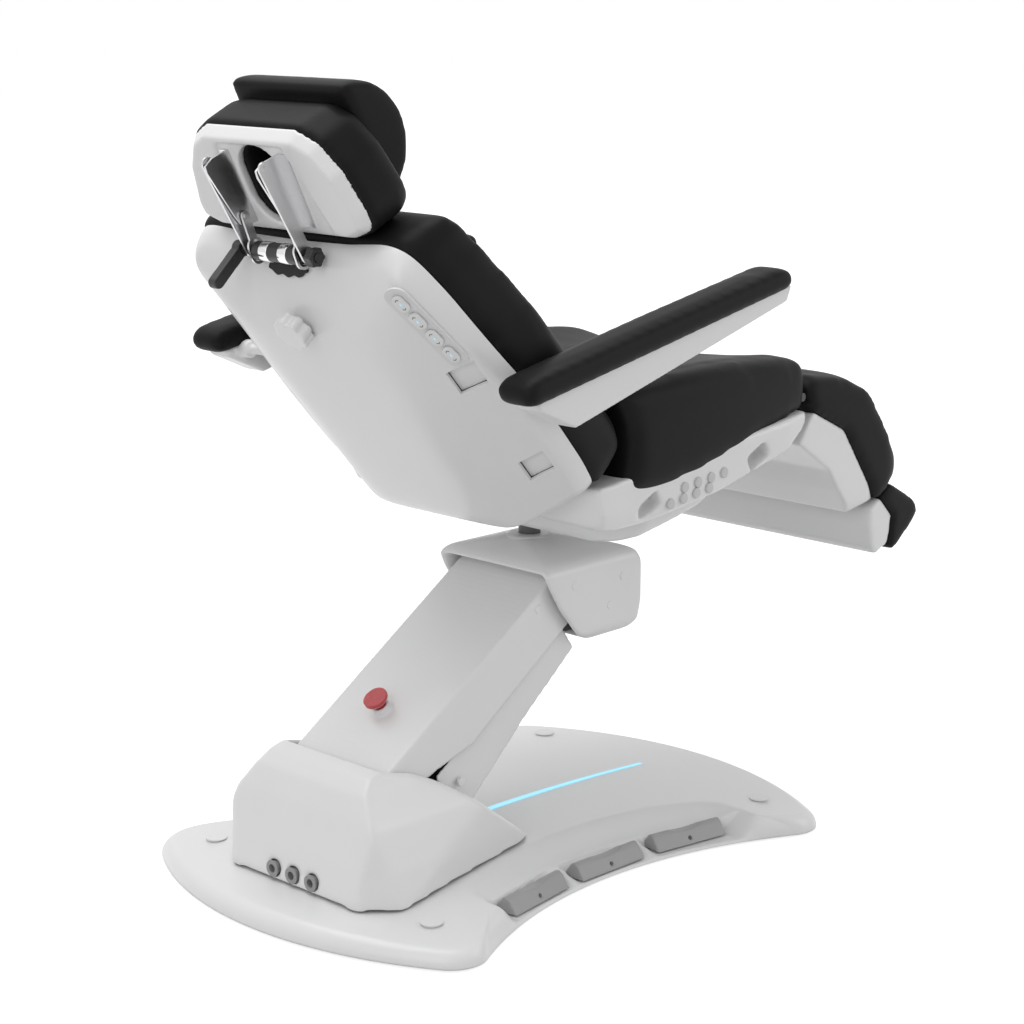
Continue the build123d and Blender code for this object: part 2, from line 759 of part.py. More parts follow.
with BuildPart() as head_shell:
    add(outline_block(side(0, 0), head_points, -head_half_width, head_half_width))
    with BuildSketch(Plane.YZ.offset(head_rear_x - overrun)):
        with Locations((0, head_bottom_z + head_height / 2)):
            RectangleRounded(2 * head_half_width, head_height, head_corner)
    extrude(amount=head_length + 2 * overrun, mode=Mode.INTERSECT)
    with BuildSketch(Plane.XY.offset(head_top_z - running_gap)):
        with Locations((swivel_x, 0)):
            Circle(collar_radius)
    with BuildSketch(Plane.XY.offset(head_top_z + collar_height)):
        with Locations((swivel_x, 0)):
            Circle(collar_top_radius)
    loft()
    add(head_hollow.part, mode=Mode.SUBTRACT)
    with BuildSketch(Plane.XY.offset(head_top_z - 2 * cover_wall)):
        with Locations((swivel_x, 0)):
            Circle(collar_radius - cover_wall)
    with BuildSketch(Plane.XY.offset(head_top_z + collar_height + overrun)):
        with Locations((swivel_x, 0)):
            Circle(collar_top_radius - cover_wall)
    loft(mode=Mode.SUBTRACT)
finish(head_shell, "head_shell")

# Head bracket: top plate with the bearing ring, and two cheeks that hold the lift's upper pins
bracket_y = 80.0
bracket_top_z = head_top_z - cover_wall - seam_gap
bracket_front_x = head_rear_x + head_length - head_corner
bearing_height = 16.0
bearing_radius = 34.0
post_radius = 18.0
bracket_points = (
    (arm_top[0] - eye_radius / 2, arm_top[1] + eye_radius / 2),
    (arm_top[0] + eye_radius, arm_top[1] + eye_radius / 2),
    (arm_top[0] + arm_front_radius + eye_radius, bracket_top_z),
    (bracket_front_x, bracket_top_z),
    (bracket_front_x, link_top[1]),
    (link_top[0] + eye_radius, link_top[1] - eye_radius / 2),
    (link_top[0] - eye_radius / 2, link_top[1] - eye_radius / 2),
    (arm_top[0] - eye_radius / 2, arm_top[1] - eye_radius / 2),
)
with BuildPart() as head_bracket:
    for hand in (-1, 1):
        middle = hand * bracket_y
        add(outline_block(side(0, 0), bracket_points, middle - plate / 2, middle + plate / 2))
    add(pins(side(0, 0), (arm_top, link_top), pin_radius, -bracket_y - plate / 2, bracket_y + plate / 2))
    with BuildSketch(Plane.XY.offset(bracket_top_z - plate)):
        with Locations(((bracket_front_x + swivel_x - collar_radius) / 2, 0)):
            Rectangle(bracket_front_x - swivel_x + collar_radius, 2 * (head_half_width - head_corner))
    extrude(amount=plate)
    with BuildSketch(Plane.XY.offset(bracket_top_z)):
        with Locations((swivel_x, 0)):
            Circle(bearing_radius)
            Circle(post_radius + running_gap, mode=Mode.SUBTRACT)
    extrude(amount=bearing_height)
finish(head_bracket, "head_bracket")

# Swivel post in the bearing, with the fork that carries the tilting seat
fork_y = 45.0
fork_half = 18.0
fork_floor_z = 540.0
post_foot_z = bracket_top_z + running_gap
tilt_anchor = (95.0, 548.0)
tilt_pin = 5.0
tilt_level = 70.0
tilt_reach = 12.0
rail_y = 34.0
rail_thickness = 8.0
pin_inner_y = rail_y - rail_thickness / 2 - seam_gap
fork_points = (
    (swivel_x - fork_half, fork_floor_z),
    (tilt_anchor[0] + fork_half, fork_floor_z),
    (tilt_anchor[0] + fork_half, tilt_anchor[1] + fork_half),
    (swivel_x + fork_half, tilt_pivot_z),
    (swivel_x + fork_half / 2, tilt_pivot_z + fork_half),
    (swivel_x - fork_half / 2, tilt_pivot_z + fork_half),
    (swivel_x - fork_half, tilt_pivot_z),
)
with BuildPart() as swivel_frame:
    with BuildSketch(Plane.XY.offset(post_foot_z)):
        with Locations((swivel_x, 0)):
            Circle(post_radius)
    extrude(amount=fork_floor_z - post_foot_z)
    with BuildSketch(Plane.XY.offset(post_foot_z + bearing_height)):
        with Locations((swivel_x, 0)):
            Circle(collar_top_radius - cover_wall - 2 * seam_gap)
    extrude(amount=plate / 2)
    with BuildSketch(Plane.XY.offset(fork_floor_z - plate)):
        with Locations(((swivel_x + tilt_anchor[0]) / 2, 0)):
            Rectangle(2 * fork_half + tilt_anchor[0] - swivel_x, 2 * fork_y + bar_thickness)
    extrude(amount=plate)
    for hand in (-1, 1):
        middle = hand * fork_y
        add(outline_block(side(0, 0), fork_points, middle - bar_thickness / 2, middle + bar_thickness / 2))
        pin_ends = sorted((hand * pin_inner_y, middle))
        add(pins(side(0, 0), ((swivel_x, tilt_pivot_z),), pin_radius, pin_ends[0], pin_ends[1]))
    add(pins(side(0, 0), (tilt_anchor,), tilt_pin, fork_y, tilt_level + tilt_reach))
finish(swivel_frame, "swivel_frame")

# Seat: closed shell under the cushion, carved round the back's hinge so that the back can swing
back_angle = 90 + back_lean
back_place = (back_origin_x, back_origin_z, back_angle)
back_pivot = from_place(back_place, back_pivot_rise, 0)
back_swing_radius = 134.0
back_swing_half = 225.0
back_heel_radius = 110.0
back_side_radius = 66.0
seat_bottom_z = 568.0
seat_shell_height = 126.0
seat_length = seat_front_x - seat_rear_x
seat_place = (seat_rear_x, seat_bottom_z, 0)
seat_under_shares = (
    (0.0, 0.643), (0.04, 0.056), (0.119, 0.0), (0.229, 0.024), (0.546, 0.23), (0.883, 0.563), (0.981, 0.849),
    (1.0, 1.0),
)
seat_seam_shares = ((0.971, 1.0), (0.452, 0.54), (0.227, 0.42), (0.031, 0.548))
seat_under = spread(seat_under_shares, seat_length, seat_shell_height)
seat_seam = spread(seat_seam_shares, seat_length, seat_shell_height)
window_rear_x = 34.0
window_front_x = 322.0
window_near_y = -92.0
window_far_y = 60.0
drive_y = 14.0
slot_half = 16.0
front_slot_length = 160.0
tube_slot_length = 70.0
tube_slot_rise = 40.0
hinge_notch_length = 82.0
front_slot_drop = 70.0
hinge_arm_y = 201.0
hinge_arm_thickness = 12.0
hinge_arm_slot = 9.0


def swing(radius, half):
    """Round block about the back's hinge."""
    return pins(side(0, 0), (back_pivot,), radius, -half, half)


def height_at(points, x):
    """Height at a place along an open outline that runs from rear to front."""
    for before, after in zip(points, points[1:]):
        if before[0] <= x <= after[0]:
            return before[1] + (after[1] - before[1]) * (x - before[0]) / (after[0] - before[0])
    return points[-1][1]


def window(low, high):
    """Block through the seat's floor for the tilt fork and drive, between two heights over the floor line."""
    rear = window_rear_x - seat_rear_x
    front = window_front_x - seat_rear_x
    floor = [(x, z) for x, z in seat_under if rear < x < front]
    line = [(rear, height_at(seat_under, rear))] + floor + [(front, height_at(seat_under, front))]
    points = [(x, z + high) for x, z in line] + [(x, z + low) for x, z in reversed(line)]
    return outline_block(side(*seat_place), points, -window_far_y, -window_near_y)


seat_cross_shares = ((1.0, 2.0), (1.0, 0.25), (0.975, 0.08), (0.93, 0.0))
seat_plan_shares = ((0.94, 1.0), (0.98, 0.97), (1.0, 0.88), (1.0, 0.0))
seat_views = (
    seat_under + seat_seam,
    mirrored(spread(seat_cross_shares, seat_half_width, seat_shell_height)),
    mirrored(spread(seat_plan_shares, seat_half_width, seat_length)),
)
seat_reach = 2 * seat_length
with BuildPart() as seat_shell:
    add(sculpted(seat_place, seat_views, seat_reach))
    add(sculpted(seat_place, seat_views, seat_reach, inset=cover_wall), mode=Mode.SUBTRACT)
    add(swing(back_side_radius, seat_half_width + overrun), mode=Mode.SUBTRACT)
    add(swing(back_heel_radius, seat_half_width - cover_wall - seam_gap), mode=Mode.SUBTRACT)
    add(swing(back_swing_radius + gap, back_swing_half), mode=Mode.SUBTRACT)
    add(window(-overrun, 2 * cover_wall), mode=Mode.SUBTRACT)
    for hand in (-1, 1):
        middle = hand * hinge_arm_y
        add(
            box_cut(
                seat_front_x - hinge_notch_length, seat_front_x + overrun, middle - hinge_arm_slot,
                middle + hinge_arm_slot, leg_pivot_z - front_slot_drop, leg_pivot_z,
            ),
            mode=Mode.SUBTRACT,
        )
    add(
        box_cut(
            seat_front_x - front_slot_length, seat_front_x + overrun, -drive_y - slot_half, slot_half - drive_y,
            seat_bottom_z, seat_bottom_z + seat_shell_height - cover_wall,
        ),
        mode=Mode.SUBTRACT,
    )
    add(
        box_cut(
            window_rear_x, window_rear_x + tube_slot_length, drive_y - slot_half, drive_y + slot_half,
            seat_bottom_z + tube_slot_rise, seat_bottom_z + seat_shell_height,
        ),
        mode=Mode.SUBTRACT,
    )
finish(seat_shell, "seat_shell")

# Cover pan under the seat, closed round the tilt mechanism
pan_half_width = 235.0
pan_height = 90.0
pan_drop = 40.0
pan_rear_x = 17.0
pan_length = 289.0
pan_shares = (
    (0.0, 0.44), (0.024, 0.05), (0.225, 0.0), (0.322, 0.1), (0.567, 0.3), (0.734, 0.42), (0.945, 0.69),
    (0.985, 0.93), (0.696, 0.745), (0.125, 0.46),
)
pan_place = (pan_rear_x, seat_bottom_z - pan_drop, 0)
pan_cross_shares = ((1.0, 1.0), (1.0, 0.3), (0.96, 0.08), (0.85, 0.0))
pan_plan_shares = ((0.8, 1.0), (1.0, 0.8), (1.0, 0.3), (0.8, 0.0))
pan_views = (
    spread(pan_shares, pan_length, pan_height),
    mirrored(spread(pan_cross_shares, pan_half_width, pan_height)),
    mirrored(spread(pan_plan_shares, pan_half_width, pan_length)),
)
with BuildPart() as under_seat_cover:
    add(sculpted(pan_place, pan_views, seat_reach))
    add(sculpted(pan_place, pan_views, seat_reach, inset=cover_wall), mode=Mode.SUBTRACT)
    add(window(-2 * cover_wall, overrun), mode=Mode.SUBTRACT)
    add(
        box_cut(
            swivel_x - 2 * fork_half - seam_gap, swivel_x + 3 * fork_half, window_near_y, window_far_y,
            seat_bottom_z - pan_drop - overrun, seat_bottom_z - pan_drop / 2,
        ),
        mode=Mode.SUBTRACT,
    )
finish(under_seat_cover, "under_seat_cover")

# Seat frame: two rails on the tilt pins, tubes outside them, and arms out to the back and leg hinges
seat_rail_rear_x = 6.0
seat_rail_low_z = 584.0
seat_rail_length = 404.0
seat_rail_rise = 91.0
seat_rail_shares = (
    (0.0, 0.044), (0.134, 0.0), (0.257, 0.033), (0.567, 0.275), (0.802, 0.549), (1.0, 0.802), (1.0, 1.0),
    (0.567, 0.593), (0.257, 0.363), (0.121, 0.308), (0.0, 0.253),
)
seat_rail_points = spread(seat_rail_shares, seat_rail_length, seat_rail_rise)
seat_rail_plane = side(seat_rail_rear_x, seat_rail_low_z)
drive_anchor = (235.0, 617.0)
drive_pin = 5.0
tilt_top = (300.0, 638.0)
rear_tube = (10.0, 600.0)
rear_tube_radius = 10.0
front_tube = (400.0, 664.0)
front_tube_radius = 8.0
hinge_arm_half = 14.0
leg_arm_half = 9.0
leg_pivot = (leg_pivot_x, leg_pivot_z)
leg_pin = 5.0
with BuildPart() as seat_frame:
    for hand in (-1, 1):
        middle = hand * rail_y
        low = middle - rail_thickness / 2
        add(outline_block(seat_rail_plane, seat_rail_points, low, low + rail_thickness))
        low = hand * hinge_arm_y - hinge_arm_thickness / 2
        high = low + hinge_arm_thickness
        add(bar(rear_tube, back_pivot, hinge_arm_half, low, high))
        add(bar(front_tube, leg_pivot, leg_arm_half, low, high))
        ends = sorted((hand * (rail_y - rail_thickness / 2), hand * (hinge_arm_y + hinge_arm_thickness / 2)))
        add(pins(side(0, 0), (rear_tube,), rear_tube_radius, ends[0], ends[1]))
        add(pins(side(0, 0), (front_tube,), front_tube_radius, ends[0], ends[1]))
    reach = hinge_arm_y + hinge_arm_thickness / 2
    add(pins(side(0, 0), (drive_anchor,), drive_pin, -rail_y, rail_y))
    add(pins(side(0, 0), (tilt_top,), tilt_pin, rail_y, tilt_level + tilt_reach))
    add(swing(pin_radius + running_gap, seat_half_width), mode=Mode.SUBTRACT)
    reach += overrun
    add(pins(side(0, 0), (leg_pivot,), leg_pin + running_gap, -reach, reach), mode=Mode.SUBTRACT)
    add(
        pins(side(0, 0), ((swivel_x, tilt_pivot_z),), pin_radius + running_gap, -fork_y, fork_y),
        mode=Mode.SUBTRACT,
    )
finish(seat_frame, "seat_frame")

# Seat cushion: dished between two side rolls, lofted from rear to front
cushion_top_height = 224.0
cushion_front_height = 208.0
cushion_roll = 28.0
cushion_dip = 20.0
cushion_rear_x = -62.0
cushion_middle_share = 0.5
cushion_clear_radius = 118.0
cushion_heel_x = 14.0
cushion_heel_z = 653.0
cushion_heel_half = 150.0


def cushion_section(x, height, half, dip, roll):
    """Cross outline of the seat cushion at a place along it."""
    with BuildSketch(Plane(origin=(x, 0, seat_bottom_z), x_dir=(0, 1, 0), z_dir=(1, 0, 0))) as drawn:
        with BuildLine():
            Polyline((-half, height - roll), (-half, 0), (half, 0), (half, height - roll))
            ThreePointArc((half, height - roll), (half - roll / 4, height - roll / 4), (half - roll, height))
            ThreePointArc((half - roll, height), (0, height - dip), (roll - half, height))
            ThreePointArc((roll - half, height), (roll / 4 - half, height - roll / 4), (-half, height - roll))
        make_face()
    return drawn.sketch


with BuildPart() as seat_cushion:
    middle_x = cushion_rear_x + (seat_front_x - cushion_rear_x) * cushion_middle_share
    sections = [
        cushion_section(cushion_rear_x, cushion_front_height, seat_half_width - seam_gap, cushion_dip, cushion_roll),
        cushion_section(middle_x, cushion_top_height, seat_half_width, cushion_dip, cushion_roll),
        cushion_section(seat_front_x, cushion_front_height, seat_half_width - cushion_dip, cushion_dip, cushion_roll),
    ]
    loft(sections)
    floor = [(x, z + running_gap) for x, z in reversed(seat_seam)]
    reach_down = [(seat_length + overrun, seat_shell_height + running_gap), (seat_length + overrun, -overrun)]
    floor = [(-overrun, floor[0][1])] + floor + reach_down + [(-overrun, -overrun)]
    reach = seat_half_width + overrun
    add(outline_block(side(*seat_place), floor, -reach, reach), mode=Mode.SUBTRACT)
    add(swing(cushion_clear_radius, seat_half_width + overrun), mode=Mode.SUBTRACT)
    add(
        box_cut(
            cushion_rear_x - overrun, cushion_heel_x, -cushion_heel_half, cushion_heel_half,
            seat_bottom_z, cushion_heel_z,
        ),
        mode=Mode.SUBTRACT,
    )
    for hand in (-1, 1):
        middle = hand * hinge_arm_y
        add(
            box_cut(
                seat_front_x - hinge_notch_length, seat_front_x + overrun, middle - hinge_arm_slot,
                middle + hinge_arm_slot, seat_bottom_z, leg_pivot_z + leg_arm_half + seam_gap,
            ),
            mode=Mode.SUBTRACT,
        )
finish(seat_cushion, "seat_cushion")

# Back: shell common to three outlines, deep in the middle and shallow at the rim
back_outline_half = 294.0
back_depth = 105.0
back_outline_shares = (
    (0.449, 0.984), (0.68, 1.0), (0.76, 0.98), (0.8, 0.95), (0.827, 0.897), (0.864, 0.816), (0.901, 0.672),
    (0.925, 0.575), (0.966, 0.49), (1.0, 0.287), (0.969, 0.0), (0.85, -0.016), (0.68, -0.059), (0.51, -0.089),
    (0.34, -0.115),
)
back_side_shares = (
    (0.0, 0.0), (1.0, 0.0), (1.0, 0.133), (0.958, 0.38), (0.889, 0.552), (0.796, 0.81), (0.0, 1.0),
    (-0.059, 0.905), (-0.095, 0.714), (-0.115, 0.533), (-0.112, 0.362), (-0.079, 0.143),
)
back_cross_shares = ((0.398, 1.01), (0.891, 0.295), (1.01, 0.229), (1.01, 0.0))
back_side_points = spread(back_side_shares, back_length, back_depth)
back_cross_points = mirrored(spread(back_cross_shares, back_outline_half, back_depth))
back_face_points = mirrored(spread(back_outline_shares, back_outline_half, back_length))
back_views = (back_side_points, back_cross_points, back_face_points)
back_reach = 2 * back_length
drive_slot_along = 80.0
drive_slot_top = 26.0
drive_slot_depth = 92.0
hinge_slot_top = 132.0
eye_outer_y = 240.0
eye_depth = 20.0
post_half_width = 15.0
post_slot_margin = 15.0
post_slot_along = 468.0
hub_along = 240.6
hub_rear = 26.5
hub_pin_radius = 8.0
knob_along = 406.0
knob_stem_radius = 5.0
with BuildPart() as back_shell:
    add(sculpted(back_place, back_views, back_reach))
    add(sculpted(back_place, back_views, back_reach, inset=cover_wall), mode=Mode.SUBTRACT)
    add(
        leaning_cut(
            back_place, -drive_slot_along, drive_slot_top, drive_y - slot_half, drive_y + slot_half, -overrun,
            drive_slot_depth,
        ),
        mode=Mode.SUBTRACT,
    )
    for hand in (-1, 1):
        middle = hand * hinge_arm_y
        add(
            leaning_cut(
                back_place, -drive_slot_along, hinge_slot_top, middle - hinge_arm_slot, middle + hinge_arm_slot,
                -overrun, back_depth + overrun,
            ),
            mode=Mode.SUBTRACT,
        )
        inner, outer = sorted((hand * (hinge_arm_y - hinge_arm_slot), hand * eye_outer_y))
        add(
            leaning_cut(back_place, -drive_slot_along, hinge_slot_top, inner, outer, -overrun, eye_depth),
            mode=Mode.SUBTRACT,
        )
    add(
        leaning_cut(
            back_place, post_slot_along, back_length + overrun, -post_half_width - post_slot_margin,
            post_half_width + post_slot_margin, 2 * cover_wall, back_depth,
        ),
        mode=Mode.SUBTRACT,
    )
    hub = from_place(back_place, hub_along, hub_rear)
    add(pins(side(0, 0), (hub,), hub_pin_radius + gap, -back_reach, back_reach), mode=Mode.SUBTRACT)
    with BuildSketch(face(*back_place).offset(back_depth / 2)):
        with Locations((0, knob_along)):
            Circle(knob_stem_radius + gap)
    extrude(amount=back_depth, mode=Mode.SUBTRACT)
finish(back_shell, "back_shell")

# Back frame: two uprights with hinge pins, cross tubes, the post guide and the drive lever
upright_y = 230.0
upright_thickness = 8.0
upright_top = 420.0
upright_shares = (
    (0.107, -0.11), (0.164, -0.13), (0.31, 0.057), (1.0, 0.057), (1.0, 0.32), (0.286, 0.32), (0.135, 0.15),
    (0.1, 0.1),
)
cross_tube_shares = (0.23, 0.714, 0.95)
frame_tube_radius = 8.0
frame_tube_rear = 20.0
lever_along = 0.3
lever_rear = 73.6
lever_half = 10.0
lever_spacing = 9.0
lever_thickness = 6.0
guide_y = 20.0
guide_low_share = 0.69
guide_rear = 46.0
post_rear = 34.0
post_thickness = 10.0
back_lever = from_place(back_place, lever_along, lever_rear)
lever_root = from_place(back_place, upright_top * cross_tube_shares[0], frame_tube_rear)
with BuildPart() as back_frame:
    for hand in (-1, 1):
        middle = hand * upright_y
        low = middle - upright_thickness / 2
        upright_points = spread(upright_shares, upright_top, back_depth)
        add(outline_block(side(*back_place), upright_points, low, low + upright_thickness))
        pin_ends = sorted((hand * (hinge_arm_y - hinge_arm_slot), hand * upright_y))
        add(pins(side(0, 0), (back_pivot,), pin_radius, pin_ends[0], pin_ends[1]))
        low = hand * lever_spacing - drive_y - lever_thickness / 2
        add(bar(lever_root, back_lever, lever_half, low, low + lever_thickness))
        low = hand * guide_y - plate / 2
        guide_points = (
            (upright_top * guide_low_share, frame_tube_rear), (upright_top, frame_tube_rear),
            (upright_top, guide_rear), (upright_top * guide_low_share, guide_rear),
        )
        add(outline_block(side(*back_place), guide_points, low, low + plate))
    tubes = [(upright_top * share, frame_tube_rear) for share in cross_tube_shares]
    add(pins(side(*back_place), tubes, frame_tube_radius, -upright_y, upright_y))
    add(pins(side(0, 0), (back_lever,), drive_pin, -drive_y - lever_spacing, lever_spacing - drive_y))
    add(pins(side(0, 0), (hub,), hub_pin_radius + running_gap, -back_reach, back_reach), mode=Mode.SUBTRACT)
finish(back_frame, "back_frame")

# Back cushion: thick pad with a rolled top, a hollowed edge and a lumbar rise
back_cushion_depth = 112.0
back_cushion_side_shares = (
    (0.0, 0.0), (1.0, 0.0), (0.985, 0.3), (0.97, 0.53), (0.955, 0.7), (0.92, 0.78), (0.67, 0.82), (0.4, 0.91),
    (0.29, 0.93), (0.15, 0.985), (0.07, 0.9), (0.01, 0.62), (-0.002, 0.3),
)
back_cushion_cross_shares = ((0.4, 1.0), (0.75, 0.97), (0.93, 0.8), (0.985, 0.5), (0.99, 0.0))
back_cushion_face_shares = (
    (0.42, 1.0), (0.66, 1.0), (0.76, 0.985), (0.81, 0.94), (0.83, 0.88), (0.866, 0.8), (0.9, 0.672),
    (0.925, 0.575), (0.966, 0.47), (0.985, 0.287), (0.96, 0.0), (0.9, -0.02),
)
with BuildPart() as back_cushion:
    side_points = spread(back_cushion_side_shares, back_length, back_cushion_depth)
    cross_points = spread(back_cushion_cross_shares, back_outline_half, back_cushion_depth)
    cushion_sides = [(along, -gap - ahead) for along, ahead in side_points]
    cushion_cross = mirrored([(y, -gap - ahead) for y, ahead in cross_points])
    cushion_face = mirrored(spread(back_cushion_face_shares, back_outline_half, back_length))
    add(sculpted(back_place, (cushion_sides, cushion_cross, cushion_face), back_reach))
    for hand in (-1, 1):
        inner, outer = sorted((hand * (hinge_arm_y - hinge_arm_slot), hand * eye_outer_y))
        add(
            leaning_cut(back_place, -drive_slot_along, hinge_slot_top, inner, outer, -2 * eye_depth, overrun),
            mode=Mode.SUBTRACT,
        )
finish(back_cushion, "back_cushion")

# Drives of tilt, back and leg rest: each starts on the frame behind and ends on the part that it moves
tilt_play = 2.0
back_play = 8.0
leg_play = 6.0
tilt_tube_radius = 12.0
tilt_tube_length = 150.0
tilt_rod_length = 140.0
back_tube_radius = 8.0
back_tube_length = 220.0
back_rod_length = 205.0
leg_tube_radius = 8.0
leg_tube_length = 180.0
leg_rod_length = 150.0
leg_lever = (478.0, 668.0)
actuator(
    "tilt", tilt_anchor, tilt_top, tilt_level, tilt_tube_radius, tilt_tube_length, tilt_rod_length, tilt_play,
    tilt_pin,
)
actuator(
    "back", drive_anchor, back_lever, -drive_y, back_tube_radius, back_tube_length, back_rod_length,
    back_play, drive_pin,
)
actuator(
    "leg", drive_anchor, leg_lever, drive_y, leg_tube_radius, leg_tube_length, leg_rod_length, leg_play,
    drive_pin,
)

# Key panel let into the back shell's near slope, with four rocker keys in a row
slope_rise = (back_cross_shares[0][1] - back_cross_shares[1][1]) * back_depth
slope_run = (back_cross_shares[1][0] - back_cross_shares[0][0]) * back_outline_half
slope_angle = degrees(atan2(slope_rise, slope_run))
panel_along = 395.0
panel_y = -232.0
panel_turn = 9.7
panel_length = 168.0
panel_width = 34.0
panel_thickness = 3.0
key_length = 31.0
key_width = 17.0
key_height = 4.0
key_pitch = 37.5
key_pin = 1.5
key_lift = 2.5
panel_rear = (
    back_cross_shares[1][1] * back_depth
    + (back_cross_shares[1][0] * back_outline_half + panel_y) * slope_rise / slope_run
)
panel_spot = from_place(back_place, panel_along, panel_rear)
turn = radians(back_angle)
climb = Vector(cos(turn), 0, sin(turn))
rear = Vector(-sin(turn), 0, cos(turn))
slope = radians(slope_angle)
panel_normal = rear * cos(slope) + Vector(0, -1, 0) * sin(slope)
turn = radians(panel_turn)
panel_along_dir = climb * cos(turn) + panel_normal.cross(climb) * sin(turn)
panel_plane = Plane(origin=(panel_spot[0], panel_y, panel_spot[1]), x_dir=panel_along_dir, z_dir=panel_normal)
key_count = 4
key_places = [key_pitch * (step - (key_count - 1) / 2) for step in range(key_count)]
with BuildPart() as key_panel:
    with BuildSketch(panel_plane.offset(running_gap)):
        SlotOverall(panel_length, panel_width)
    extrude(amount=panel_thickness)
    with BuildSketch(panel_plane.offset(panel_thickness + running_gap)):
        with Locations(*[(place, 0) for place in key_places]):
            Rectangle(2 * key_pin, key_width / 2)
    extrude(amount=key_lift)
finish(key_panel, "key_panel")

for place, name in zip(key_places, ("rocker_key_1", "rocker_key_2", "rocker_key_3", "rocker_key_4")):
    with BuildPart() as key:
        with BuildSketch(panel_plane.offset(panel_thickness + key_lift - key_pin)):
            with Locations((place, 0)):
                SlotOverall(key_length, key_width)
        extrude(amount=key_height)
        with BuildSketch(panel_plane.offset(panel_thickness)):
            with Locations((place, 0)):
                Rectangle(2 * key_pin + 2 * gap, key_width / 2 + 2 * gap)
        extrude(amount=key_lift + running_gap + gap, mode=Mode.SUBTRACT)
    finish(key, name)

# Lock knob on the back's rear face, its stem reaching the headrest post
knob_radius = 22.0
knob_height = 16.0
knob_lobes = 8
knob_lobe_radius = 6.0
knob_seat = back_depth * 0.83
knob_plane = face(*back_place)
with BuildPart() as lock_knob:
    with BuildSketch(knob_plane.offset(post_rear + post_thickness / 2 + gap)):
        with Locations((0, knob_along)):
            Circle(knob_stem_radius)
    extrude(amount=knob_seat - post_rear)
    with BuildSketch(knob_plane.offset(knob_seat)):
        with Locations((0, knob_along)):
            Circle(knob_radius - knob_lobe_radius / 2)
            with PolarLocations(knob_radius - knob_lobe_radius, knob_lobes):
                Circle(knob_lobe_radius)
    extrude(amount=knob_height)
finish(lock_knob, "lock_knob")

# Armrests: plastic shell with a hub on the back frame's side, and a padded top
arm_shell_width = 50.0
arm_shell_depth = 53.0
armrest_shell_length = 575.0
arm_shell_shares = ((0.0, 0.13), (0.012, -0.16), (0.12, -1.0), (0.973, -0.3), (1.0, 0.13))
arm_pad_rise = 7.0
arm_pad_thickness = 33.0
arm_pad_overhang = 20.0
arm_pad_shares = (
    (0.0, 0.2), (0.0, 0.75), (0.03, 1.0), (0.5, 1.0), (0.97, 0.9), (1.0, 0.6), (1.0, 0.15), (0.985, 0.0),
    (0.015, 0.0),
)
hub_radius = 22.0
arm_setback = 35.0
for hand, name in ((-1, "right"), (1, "left")):
    arm_place = (hub[0], hub[1], armrest_angle)
    middle = hand * armrest_spacing
    with BuildPart() as arm_shell:
        outline = spread(arm_shell_shares, armrest_shell_length, arm_shell_depth)
        shell_points = [(x - arm_setback, z) for x, z in outline]
        low = -middle - arm_shell_width / 2
        add(outline_block(side(*arm_place), shell_points, low, low + arm_shell_width))
        hub_low, hub_high = sorted((-hand * (back_outline_half + running_gap), -middle))
        add(pins(side(*arm_place), ((0, 0),), hub_radius - arm_pad_rise, hub_low, hub_high))
        pin_low, pin_high = sorted((-hand * (upright_y - upright_thickness / 2), -middle))
        add(pins(side(*arm_place), ((0, 0),), hub_pin_radius, pin_low, pin_high))
        pad_space = (
            (-hub_radius, arm_pad_rise - running_gap), (hub_radius, arm_pad_rise - running_gap),
            (hub_radius, hub_radius), (-hub_radius, hub_radius),
        )
        low = -middle - armrest_width / 2 - running_gap
        add(
            outline_block(side(*arm_place), pad_space, low, low + armrest_width + 2 * running_gap),
            mode=Mode.SUBTRACT,
        )
    finish(arm_shell, f"armrest_{name}_shell")
    with BuildPart() as arm_pad:
        pad_points = [
            (x - arm_setback - arm_pad_overhang, z + arm_pad_rise)
            for x, z in spread(arm_pad_shares, armrest_length, arm_pad_thickness)
        ]
        add(outline_block(side(*arm_place), pad_points, -middle - armrest_width / 2, -middle + armrest_width / 2))
        for end in (0, -1):
            fillet(arm_pad.faces().sort_by(Axis.Y)[end].edges(), arm_pad_rise)
    finish(arm_pad, f"armrest_{name}_pad")

# Headrest post: flat bar sliding in the back, ending in the cross tube that the head mechanism turns on
post_low = 270.0
neck = (neck_x, neck_z)
tube_radius = 14.0
tube_half = 46.0
stub_radius = 6.0
stub_near = 84.0
stub_far = 96.0
turn = radians(back_angle)
neck_along = (neck_x - back_origin_x) * cos(turn) + (neck_z - back_origin_z) * sin(turn)
neck_rear = -(neck_x - back_origin_x) * sin(turn) + (neck_z - back_origin_z) * cos(turn)
with BuildPart() as headrest_post:
    post_points = (
        (post_low, post_rear - post_thickness / 2), (neck_along - tube_radius, post_rear - post_thickness / 2),
        (neck_along, neck_rear - post_thickness / 2), (neck_along, neck_rear + post_thickness / 2),
        (neck_along - tube_radius, post_rear + post_thickness / 2), (post_low, post_rear + post_thickness / 2),
    )
    add(outline_block(side(*back_place), post_points, -post_half_width, post_half_width))
    reach = post_half_width + overrun
    add(pins(side(0, 0), (neck,), tube_radius + running_gap, -reach, reach), mode=Mode.SUBTRACT)
finish(headrest_post, "headrest_post")

with BuildPart() as cross_tube:
    add(pins(side(0, 0), (neck,), tube_radius, -tube_half, tube_half))
    add(pins(side(0, 0), (neck,), stub_radius, -stub_far, stub_near))
finish(cross_tube, "cross_tube")

